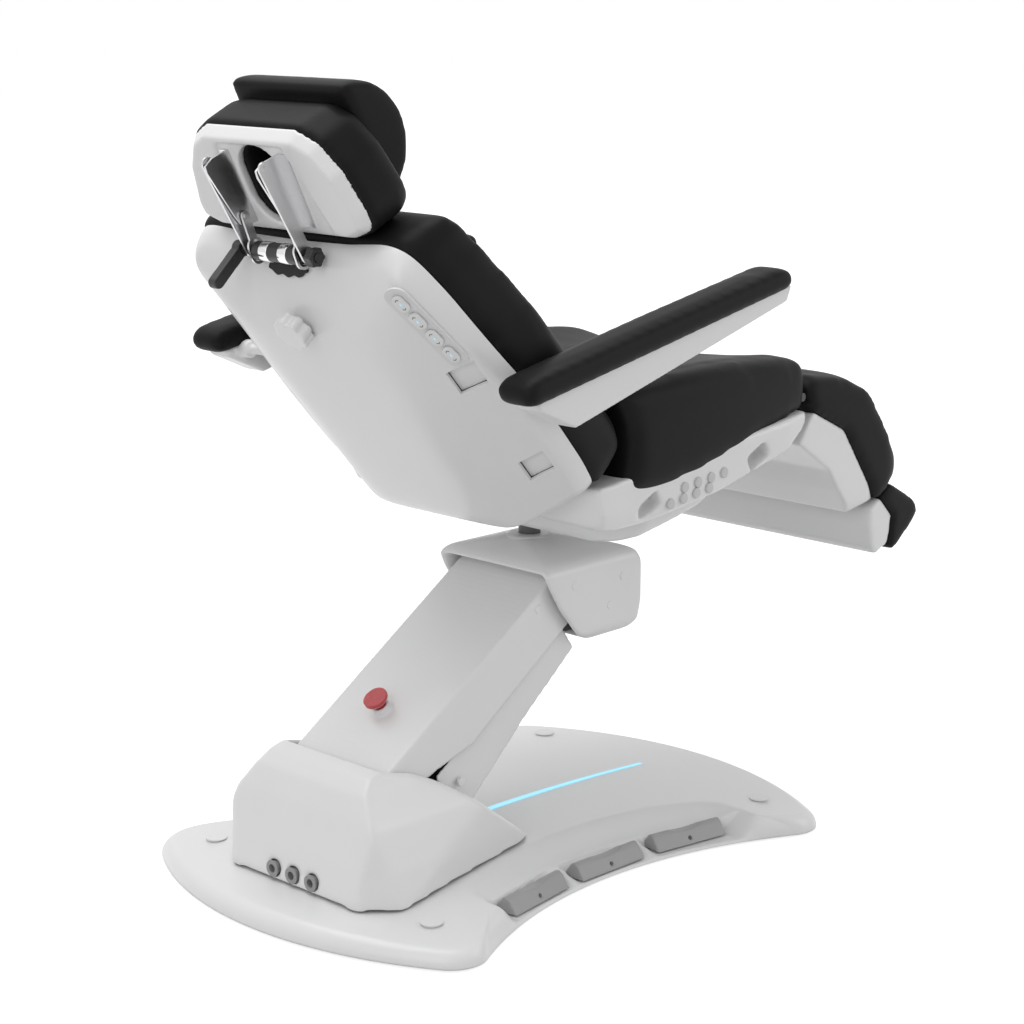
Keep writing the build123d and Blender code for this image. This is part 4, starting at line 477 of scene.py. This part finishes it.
# Column head and swivel
# A white hood on the arm's top end keeps level as the arm lifts, and the whole seat turns on the collar
# that stands on it.

hood_opening = (((0.03, 0, 0.396), (0.14, 0.226, 0.146)),)
moulded(
    "head_hood", "head_shell", "head", "white_shell", white_plastic, grid=0.003, softening=26, hull=True,
    cuts=hood_opening,
)
collar_place = (0.082, 0, 0.496)
collar_foot = 0.054
collar_top = 0.036
collar_height = 0.024
collar_edge = 0.004
bpy.ops.object.select_all(action="DESELECT")
bpy.ops.mesh.primitive_cone_add(
    vertices=96, radius1=collar_foot, radius2=collar_top, depth=collar_height, location=collar_place
)
collar = bpy.context.object
collar.name = "swivel_collar"
shaped(collar, "BEVEL", width=collar_edge, segments=4, limit_method="ANGLE")
bpy.ops.object.transform_apply(location=True, rotation=True, scale=True)
placed(collar, "head", "white_shell", white_plastic, angle=crease)
plugs("head_screw_plugs", 0.1235, ((0.057, 0.445), (0.170, 0.441), (0.140, 0.398)), "head")
finished(dark_steel, "head_bracket", "swivel_frame", "tilt_actuator")

# Seat shell and the cover below it
# A white tray under the seat cushion with finger pockets and eight round keys in its side, and a
# rounded cover under its middle that hides the drives.

seat_pockets = (
    ((0.055, -0.277, 0.600), (0.046, 0.044, 0.026), -25),
    ((0.315, -0.275, 0.640), (0.050, 0.044, 0.026), -24),
)
moulded(
    "seat_tray", "seat_shell", "seat", "white_shell", white_plastic, grid=0.004, softening=10, hull=True,
    cuts=seat_pockets,
)
moulded(
    "seat_under_cover", "under_seat_cover", "seat", "white_shell", white_plastic, grid=0.005, softening=16,
    hull=True,
)
keypad_corners = np.array(((0.099, 0.597), (0.132, 0.618), (0.190, 0.608), (0.226, 0.627)))
keypad_side = -0.2865
keypad_steps = 3
seat_key_radius = 0.0085
seat_key_height = 0.004
seat_key_edge = 0.0016
seat_keys = []
for column in range(keypad_steps + 1):
    low = keypad_corners[0] + (keypad_corners[2] - keypad_corners[0]) * column / keypad_steps
    high = keypad_corners[1] + (keypad_corners[3] - keypad_corners[1]) * column / keypad_steps
    for x, z in (low, high):
        spot = (x, keypad_side, z)
        seat_keys.append(button(spot, seat_key_radius, seat_key_height, seat_key_edge))
seat_key_colours = ((0.60, 0.60, 0.605, 1), (0.56, 0.56, 0.565, 1))
seat_key_plastic = moulded_plastic("seat key plastic", *seat_key_colours, roughness=0.4)
placed(joined("seat_keypad", seat_keys), "seat", "white_shell", seat_key_plastic, angle=crease)
finished(dark_steel, "seat_frame", "back_actuator", "leg_actuator")

# Seat cushion
# Foam on a board under smooth black leatherette, dished between two side rolls.


def upholstery():
    """Smooth leatherette: a fine pebble grain and the slight unevenness of stretched skin."""
    finish = Finish("black leatherette", Specular_IOR_Level=0.09)
    pebble = finish.node("TexVoronoi", {"feature": "SMOOTH_F1"}, Vector=finish.place, Scale=850.0)
    handled = finish.noise(scale=14.0, detail=4.0)
    finish.set(Base_Color=finish.blend(handled, (0.006, 0.006, 0.0065, 1), (0.011, 0.011, 0.0115, 1)))
    finish.set(Roughness=finish.between(handled, 0.42, 0.54))
    finish.bump(pebble + handled * 1.5, strength=0.16, depth=0.0006)
    return finish.material


black_hide = upholstery()
pad_grid = {"big": 0.010, "middle": 0.0085, "small": 0.0055}
least_swell_share = 0.7
cloth_pressure = 4
cloth_quality = 3
cloth_frames = 16
last_smoothing = 4


def normals_of(piece):
    normals = np.empty(3 * len(piece.data.vertices), np.float32)
    piece.data.vertices.foreach_get("normal", normals)
    return normals.reshape(-1, 3).astype(float)


def swollen(piece, start_inset, most_swell, softening):
    """Blows the cushion up like foam pressing on its cover, and keeps each point within its reach."""
    shaped(piece, "SMOOTH", factor=smooth_factor, iterations=softening)
    shaped(piece, "DISPLACE", strength=-start_inset, mid_level=0.0)
    start = points_of(piece)
    outward = normals_of(piece)
    cloth = piece.modifiers.new("Cloth", "CLOTH")
    cloth.settings.use_pressure = True
    cloth.settings.uniform_pressure_force = cloth_pressure
    cloth.settings.quality = cloth_quality
    cloth.settings.effector_weights.gravity = 0
    for step in range(1, cloth_frames + 1):
        bpy.context.scene.frame_set(step)
    pick(piece)
    bpy.ops.object.modifier_apply(modifier="Cloth")
    bpy.context.scene.frame_set(1)
    rise = np.sum((points_of(piece) - start) * outward, axis=1)
    rise = np.clip(rise, least_swell_share * most_swell, most_swell)
    lay_points(piece, start + outward * rise[:, None])
    shaped(piece, "SMOOTH", factor=smooth_factor, iterations=last_smoothing)
    shaped(piece, "SUBSURF", levels=1, render_levels=1)


def cushion(name, source, body, size, inset=0.004, swell=0.013, softening=6):
    """A foam pad in its cover, in the space that its solid holds."""
    piece = blank(name, source)
    shaped(piece, "REMESH", mode="VOXEL", voxel_size=pad_grid[size])
    swollen(piece, inset, swell, softening)
    placed(piece, body, "black_upholstery", black_hide, source)


cushion("seat_pad", "seat_cushion", "seat", "big", softening=12)

# Back shell and back cushion
# The backrest's white outer shell is one deep moulding with a long rounded belly and two finger pockets.
# A near-black sheet on it is painted shadow for the headrest post's slot. The black cushion sits in its
# open front.

back_place = np.array((-0.066, 0, 0.649))
back_angle = radians(131.4)
back_up = np.array((cos(back_angle), 0, sin(back_angle)))
back_rear = np.array((-sin(back_angle), 0, cos(back_angle)))
back_half_width = 0.294
back_length = 0.506
back_depth = 0.105
back_middle = np.array((0, 0.42 * back_length))
back_outline_shares = (
    (0, 0.98), (0.40, 0.984), (0.66, 1.0), (0.76, 0.98), (0.80, 0.945), (0.827, 0.897), (0.864, 0.816),
    (0.901, 0.672), (0.93, 0.575), (0.966, 0.48), (1.0, 0.287), (0.99, 0.12), (0.955, 0.01), (0.85, -0.016),
    (0.68, -0.059), (0.51, -0.089), (0.34, -0.108), (0, -0.12),
)
back_side_shares = (
    (-0.13, 0.45), (-0.115, 0.533), (-0.095, 0.714), (-0.059, 0.905), (0.0, 1.0), (0.4, 0.93),
    (0.796, 0.81), (0.889, 0.552), (0.958, 0.38), (1.0, 0.133), (1.02, 0.06),
)
back_cross_shares = ((0, 1.03), (0.2, 1.02), (0.42, 0.96), (0.891, 0.295), (1.0, 0.229), (1.1, 0.22))
back_rings = 56
back_wall = 0.006
corner_reach = 0.016
line_step = 0.003
slope_blend = 0.02


def rounded_line(points, reach):
    """A polygon's points taken at even steps, with its corners drawn round."""
    points = np.array(points)
    lengths = np.concatenate(((0,), np.cumsum(np.linalg.norm(np.diff(points, axis=0), axis=1))))
    places = np.linspace(0, lengths[-1], round(lengths[-1] / line_step))
    line = np.column_stack([np.interp(places, lengths, points[:, axis]) for axis in (0, 1)])
    count = round(2 * reach / line_step)
    weights = np.hanning(2 * count + 1)
    weights /= weights.sum()
    padded = np.concatenate((2 * line[0] - line[count:0:-1], line, 2 * line[-1] - line[-2:-count - 2:-1]))
    return np.column_stack([np.convolve(padded[:, axis], weights, "valid") for axis in (0, 1)])


def back_outline():
    half = rounded_line(np.array(back_outline_shares) * (back_half_width, back_length), corner_reach)
    return np.concatenate((half, half[-2:0:-1] * (-1, 1)))


def shell_depth(across, up):
    """How far the shell's outside lies behind its front, from its side view and its cross-section."""
    side = rounded_line(np.array(back_side_shares) * (back_length, back_depth), 2 * corner_reach)
    cross = rounded_line(np.array(back_cross_shares) * (back_half_width, back_depth), 2 * corner_reach)
    first = np.interp(up, side[:, 0], side[:, 1])
    second = np.interp(np.abs(across), cross[:, 0], cross[:, 1])
    gap = np.clip(0.5 + (second - first) / (2 * slope_blend), 0, 1)
    return second * (1 - gap) + first * gap - slope_blend * gap * (1 - gap)


def back_surface(u, v):
    flat, inward = rings(back_outline(), back_middle, u, v)
    lip = np.sqrt(np.clip(1 - (1 - np.clip(inward / corner_reach, 0, 1)) ** 2, 0, 1))
    depth = shell_depth(flat[:, 0], flat[:, 1]) * lip
    spread = np.column_stack((np.zeros(len(flat)), flat[:, 0], np.zeros(len(flat))))
    return back_place + spread + flat[:, 1:] * back_up + depth[:, None] * back_rear


cut_above = 0.02
cut_below = 0.012
floor_top = 0.008
floor_bottom = 0.0095
floor_edge = 0.0006


def block(corners, inward, above, below):
    """A four-cornered block that stands on a face: so far out of the face and so far into it."""
    bpy.ops.object.select_all(action="DESELECT")
    bpy.ops.mesh.primitive_cube_add(size=1)
    piece = bpy.context.object
    points = []
    for corner in corners:
        points.append(np.array(corner) + below * inward)
        points.append(np.array(corner) - above * inward)
    lay_points(piece, np.array(points))
    in_edit(piece, lambda: bpy.ops.mesh.normals_make_consistent(inside=False))
    return piece


def pocketed(name, shell, corners, body, floor):
    """Opens a moulded finger pocket in a shell and closes its bottom with a sunk floor."""
    corners = np.array(corners)
    inward = np.cross(corners[1] - corners[0], corners[2] - corners[0])
    inward /= np.linalg.norm(inward)
    inward *= np.sign(inward @ (np.array(floor) - corners.mean(axis=0)))
    cut = block(corners, inward, above=cut_above, below=cut_below)
    shaped(shell, "BOOLEAN", operation="DIFFERENCE", solver="EXACT", object=cut)
    bpy.data.objects.remove(cut)
    bottom = block(corners, inward, above=-floor_top, below=floor_bottom)
    bottom.name = name
    shaped(bottom, "BEVEL", width=floor_edge, segments=2)
    placed(bottom, body, "white_shell", white_plastic, angle=fine_crease)


back_case = formed("back_outer_shell", len(back_outline()), back_rings, back_surface)
shaped(back_case, "SOLIDIFY", thickness=back_wall, offset=-1)
upper_pocket = ((0.213, 0.60), (0.213, 0.51), (0.260, 0.62), (0.260, 0.53))
lower_pocket = ((0.222, 0.20), (0.222, 0.12), (0.268, 0.23), (0.268, 0.15))


def on_back(across, share):
    """The point of the shell's outside so far across it and at a share of its length."""
    depth = shell_depth(np.array((across,)), np.array((share * back_length,)))[0]
    return back_place + share * back_length * back_up + depth * back_rear + np.array((0, across, 0))


for height, corners in (("upper", upper_pocket), ("lower", lower_pocket)):
    around = [on_back(-across, share) for across, share in corners]
    pocketed(f"back_pocket_{height}", back_case, around, "back", floor=back_place + 0.25 * back_up)
placed(back_case, "back", "white_shell", white_plastic, "back_shell", angle=crease)
cushion("back_pad", "back_cushion", "back", "big")


slot_width = 0.084
slot_height = 0.017
slot_place = 0.478
slot_wave = 0.0015
slot_waves = 3.5
slot_rise = 0.0012
slot_thickness = 0.004


def slot_surface(u, v):
    """A near-black, wavy-edged sheet of painted shadow, laid on the shell where the headrest's post goes
    in.
    """
    across = (u - 0.5) * slot_width
    wave = slot_wave * np.sin(2 * pi * slot_waves * u)
    up = slot_place + wave + (v - 0.5) * slot_height * np.sqrt(np.clip(1 - (2 * u - 1) ** 2, 0, 1))
    depth = shell_depth(across, up) + slot_rise
    spread = np.column_stack((np.zeros(len(u)), across, np.zeros(len(u))))
    return back_place + spread + up[:, None] * back_up + depth[:, None] * back_rear


# Painted shadow: the post's slot is not cut into the shell. A near-black sheet stands for the shade inside
# it.
slot_shadow_colours = ((0.012, 0.012, 0.012, 1), (0.008, 0.008, 0.008, 1))
slot_shadow = moulded_plastic("painted slot shadow", *slot_shadow_colours, roughness=0.8)
post_slot = formed("post_slot_painted_shadow", 64, 12, slot_surface)
shaped(post_slot, "SOLIDIFY", thickness=slot_thickness, offset=1)
placed(post_slot, "back", "knob_black", slot_shadow)
finished(dark_steel, "back_frame")

# Key panel and rocker keys
# A raised capsule near the shell's right edge holds four rocker keys, each with a light between the
# arrows at its two ends.

key_plastic = moulded_plastic("key plastic", (0.74, 0.74, 0.745, 1), (0.70, 0.70, 0.705, 1), roughness=0.35)
finished(key_plastic, "key_panel")
key_pieces = [f"rocker_key_{number}" for number in (1, 2, 3, 4)]
for key in key_pieces:
    moulded(key + "_cap", key, key, "key_grey", white_plastic, grid=0.0006, softening=4)

panel_middle = np.array((-0.36209, -0.232, 0.91455))
panel_along = np.array((-0.710, 0.150, 0.688))
panel_across = np.array((-0.229, 0.875, -0.426))
panel_out = np.array((-0.666, -0.460, -0.587))
reach_out = 0.03
mark_rise = 0.0003
mark_sink = 0.0008
arrow_width = 0.0010
light_half = 0.002
light_width = 0.0018
mark_ink = moulded_plastic("mark ink", (0.10, 0.10, 0.10, 1), (0.08, 0.08, 0.08, 1), roughness=0.6)


def on_key(cap, along, across):
    """The place on a key's top below a point of the panel's plane."""
    above = panel_middle + along * panel_along + across * panel_across + reach_out * panel_out
    struck, spot = cap.ray_cast(Vector(above), -Vector(panel_out))[:2]
    return np.array(spot if struck else above - reach_out * panel_out)


def mark(name, cap, body, strokes, width, finish):
    """Thin raised strokes on a key, each from one point to another in the key's own plane."""
    pieces = []
    for start, end in strokes:
        start, end = np.array(start), np.array(end)
        side = np.array((start[1] - end[1], end[0] - start[0]))
        side *= width / 2 / np.linalg.norm(side)
        flat = (start - side, start + side, end - side, end + side)
        corners = [on_key(cap, *point) for point in flat]
        pieces.append(block(corners, -panel_out, above=mark_rise, below=mark_sink))
    placed(joined(name, pieces), body, "key_grey", finish, angle=fine_crease)


chevron_far = 0.0105
chevron_near = 0.0080
chevron_half = 0.0028
for key in key_pieces:
    cap = bpy.data.objects[key + "_cap"]
    middle = (points_of(cap).mean(axis=0) - panel_middle) @ panel_along
    strokes = []
    for way in (-1, 1):
        for side in (-1, 1):
            tip = (middle + way * chevron_far, 0)
            strokes.append((tip, (middle + way * chevron_near, side * chevron_half)))
    mark(key + "_arrows", cap, key, strokes, arrow_width, mark_ink)
    light = ((middle - light_half, 0), (middle + light_half, 0))
    mark(key + "_light", cap, key, (light,), light_width, strip_light)

# Headrest post, lock knob and clamp
# A bent steel post slides in the back under a white lobed knob. On its top a cross tube carries the
# links, a black lever clamps the swing and a black knob sets its stiffness.


def brushed(name, colour, across):
    """Brushed steel: fine scratches along one way in the gloss and in the bump."""
    finish = Finish(name, Base_Color=colour, Metallic=1.0)
    stretched = finish.node("Mapping", Vector=finish.place, Scale=across)
    lines = finish.node("TexNoise", Vector=stretched, Scale=40.0, Detail=3.0)
    finish.set(Roughness=finish.between(lines, 0.22, 0.42))
    finish.bump(lines, strength=0.12, depth=0.0002)
    return finish.material


link_steel = brushed("brushed link steel", (0.62, 0.62, 0.63, 1), (30, 30, 4))
knob_colours = ((0.022, 0.022, 0.023, 1), (0.016, 0.016, 0.017, 1))
black_plastic = moulded_plastic("black plastic", *knob_colours, roughness=0.42, grain=0.15)
finished(link_steel, "headrest_post", "headrest_brackets", "long_links", "short_links", "foot_rails")
finished(black_plastic, "cross_tube")
tube_x = -0.432
tube_z = 1.004
band_radius = 0.0148
band_width = 0.018
band_edge = 0.0008
for band, middle in (("left", 0.022), ("right", -0.020)):
    sleeve = button((tube_x, middle, tube_z), band_radius, band_width, band_edge, sides=64)
    sleeve.name = "tube_band_" + band
    placed(sleeve, "neck", "bright_rod", bright_steel, angle=crease)
for source, grip_name, grid, softening in (
    ("lock_lever", "lock_lever_paddle", 0.001, 10),
    ("tension_knob", "tension_knob_grip", 0.0008, 4),
):
    moulded(grip_name, source, source, "knob_black", black_plastic, grid=grid, softening=softening)
knob_growth = 1.35
grip = moulded(
    "lock_knob_grip", "lock_knob", "lock_knob", "white_shell", white_plastic, grid=0.001, softening=8
)
pick(grip)
grip_middle = tuple(points_of(grip).mean(axis=0))
bpy.ops.transform.resize(value=(knob_growth, knob_growth, knob_growth), center_override=grip_middle)
bpy.ops.object.transform_apply(location=True, rotation=True, scale=True)

# Headrest
# A white shell with an oval breathing hole behind a wide cushion, with a half-round pillow on its face.

moulded(
    "headrest_outer_shell", "headrest_shell", "headrest", "white_shell", white_plastic, grid=0.0025,
    softening=12,
)
cushion("headrest_pad", "headrest_cushion", "headrest", "small", inset=0.003, swell=0.009)
cushion("head_roll", "head_pillow", "headrest", "small", inset=0.002, swell=0.008, softening=14)

# Armrests
# Each folding armrest has a white moulded underside on a round hub and a slim black pad on top.

for hand in ("right", "left"):
    body = "armrest_" + hand
    moulded(
        body + "_underside", body + "_shell", body, "white_shell", white_plastic, grid=0.0025, softening=16
    )
    cushion(body + "_top", body + "_pad", body, "small", inset=0.001, swell=0.007, softening=14)

# Leg rest and footrest
# The calf cushion sits on a white shell hung from the seat's front hinge, and a foot bar slides out of
# it on two steel rails.

moulded("calf_outer_shell", "calf_shell", "leg", "white_shell", white_plastic, grid=0.003, softening=16)
moulded(
    "foot_bar_shell", "foot_shell", "foot", "white_shell", white_plastic, grid=0.005, softening=16,
    hull=True,
)
cushion("calf_pad", "calf_cushion", "leg", "middle")
cushion("foot_pad", "foot_cushion", "foot", "small", inset=0.003, swell=0.009)
finished(dark_steel, "leg_frame")

# Studio
# A pale floor and background, three soft lamps and the camera at the photograph's height and angle.

camera_data = bpy.data.cameras.new("camera")
camera_data.lens = 85
camera_data.sensor_width = 36
camera_data.clip_end = 60
camera = bpy.data.objects.new("camera", camera_data)
bpy.context.scene.collection.objects.link(camera)
camera.location = (-2.6551, -2.6593, 1.4091)
camera.rotation_euler = (radians(77.187), 0, radians(-45.399))
bpy.context.scene.camera = camera


def lamp(name, place, target, size, power):
    """A soft square lamp that points at a spot on the chair."""
    light = bpy.data.lights.new(name, "AREA")
    light.energy = power
    light.size = size
    holder = bpy.data.objects.new(name, light)
    bpy.context.scene.collection.objects.link(holder)
    holder.location = place
    holder.rotation_euler = (Vector(target) - Vector(place)).to_track_quat("-Z", "Y").to_euler()


chair_middle = (0.1, 0, 0.6)
lamp("top lamp", (-0.4, 0.6, 3.4), chair_middle, size=2.6, power=56)
lamp("front lamp", (-3.2, -1.2, 2.0), chair_middle, size=2.0, power=17)
lamp("side lamp", (2.6, -3.0, 1.8), chair_middle, size=1.8, power=20)

bpy.ops.object.select_all(action="DESELECT")
bpy.ops.mesh.primitive_plane_add(size=40)
floor = bpy.context.object
floor.name = "floor"
floor_glow = 0.8


def pale_floor():
    finish = Finish("pale floor", Roughness=0.6, Specular_IOR_Level=0.2)
    tone = finish.noise(scale=3.0)
    finish.set(Base_Color=finish.blend(tone, (0.55, 0.55, 0.55, 1), (0.57, 0.57, 0.57, 1)))
    ray = finish.node("LightPath", output="Is Camera Ray")
    ray = ray + finish.node("LightPath", output="Is Glossy Ray")
    glow = finish.node("Emission", Color=(1, 1, 1, 1), Strength=ray * floor_glow)
    both = finish.tree.nodes.new("ShaderNodeAddShader")
    finish.tree.links.new(finish.shader.outputs[0], both.inputs[0])
    put(finish.tree, glow, both.inputs[1])
    finish.tree.links.new(both.outputs[0], finish.tree.nodes["Material Output"].inputs[0])
    return finish.material


floor.data.materials.append(pale_floor())

sky_strength = 0.6
world = bpy.data.worlds.new("studio")
world.use_nodes = True
bpy.context.scene.world = world
sky = world.node_tree
seen = sky.nodes.new("ShaderNodeLightPath")
shown = sky.nodes.new("ShaderNodeMath")
shown.operation = "MAXIMUM"
sky.links.new(seen.outputs["Is Camera Ray"], shown.inputs[0])
sky.links.new(seen.outputs["Is Glossy Ray"], shown.inputs[1])
strength = sky.nodes.new("ShaderNodeMapRange")
strength.inputs["To Min"].default_value = sky_strength
strength.inputs["To Max"].default_value = 1
sky.links.new(shown.outputs[0], strength.inputs["Value"])
sky.links.new(strength.outputs[0], sky.nodes["Background"].inputs["Strength"])
sky.nodes["Background"].inputs["Color"].default_value = (1, 1, 1, 1)
bpy.context.scene.view_settings.view_transform = "Standard"
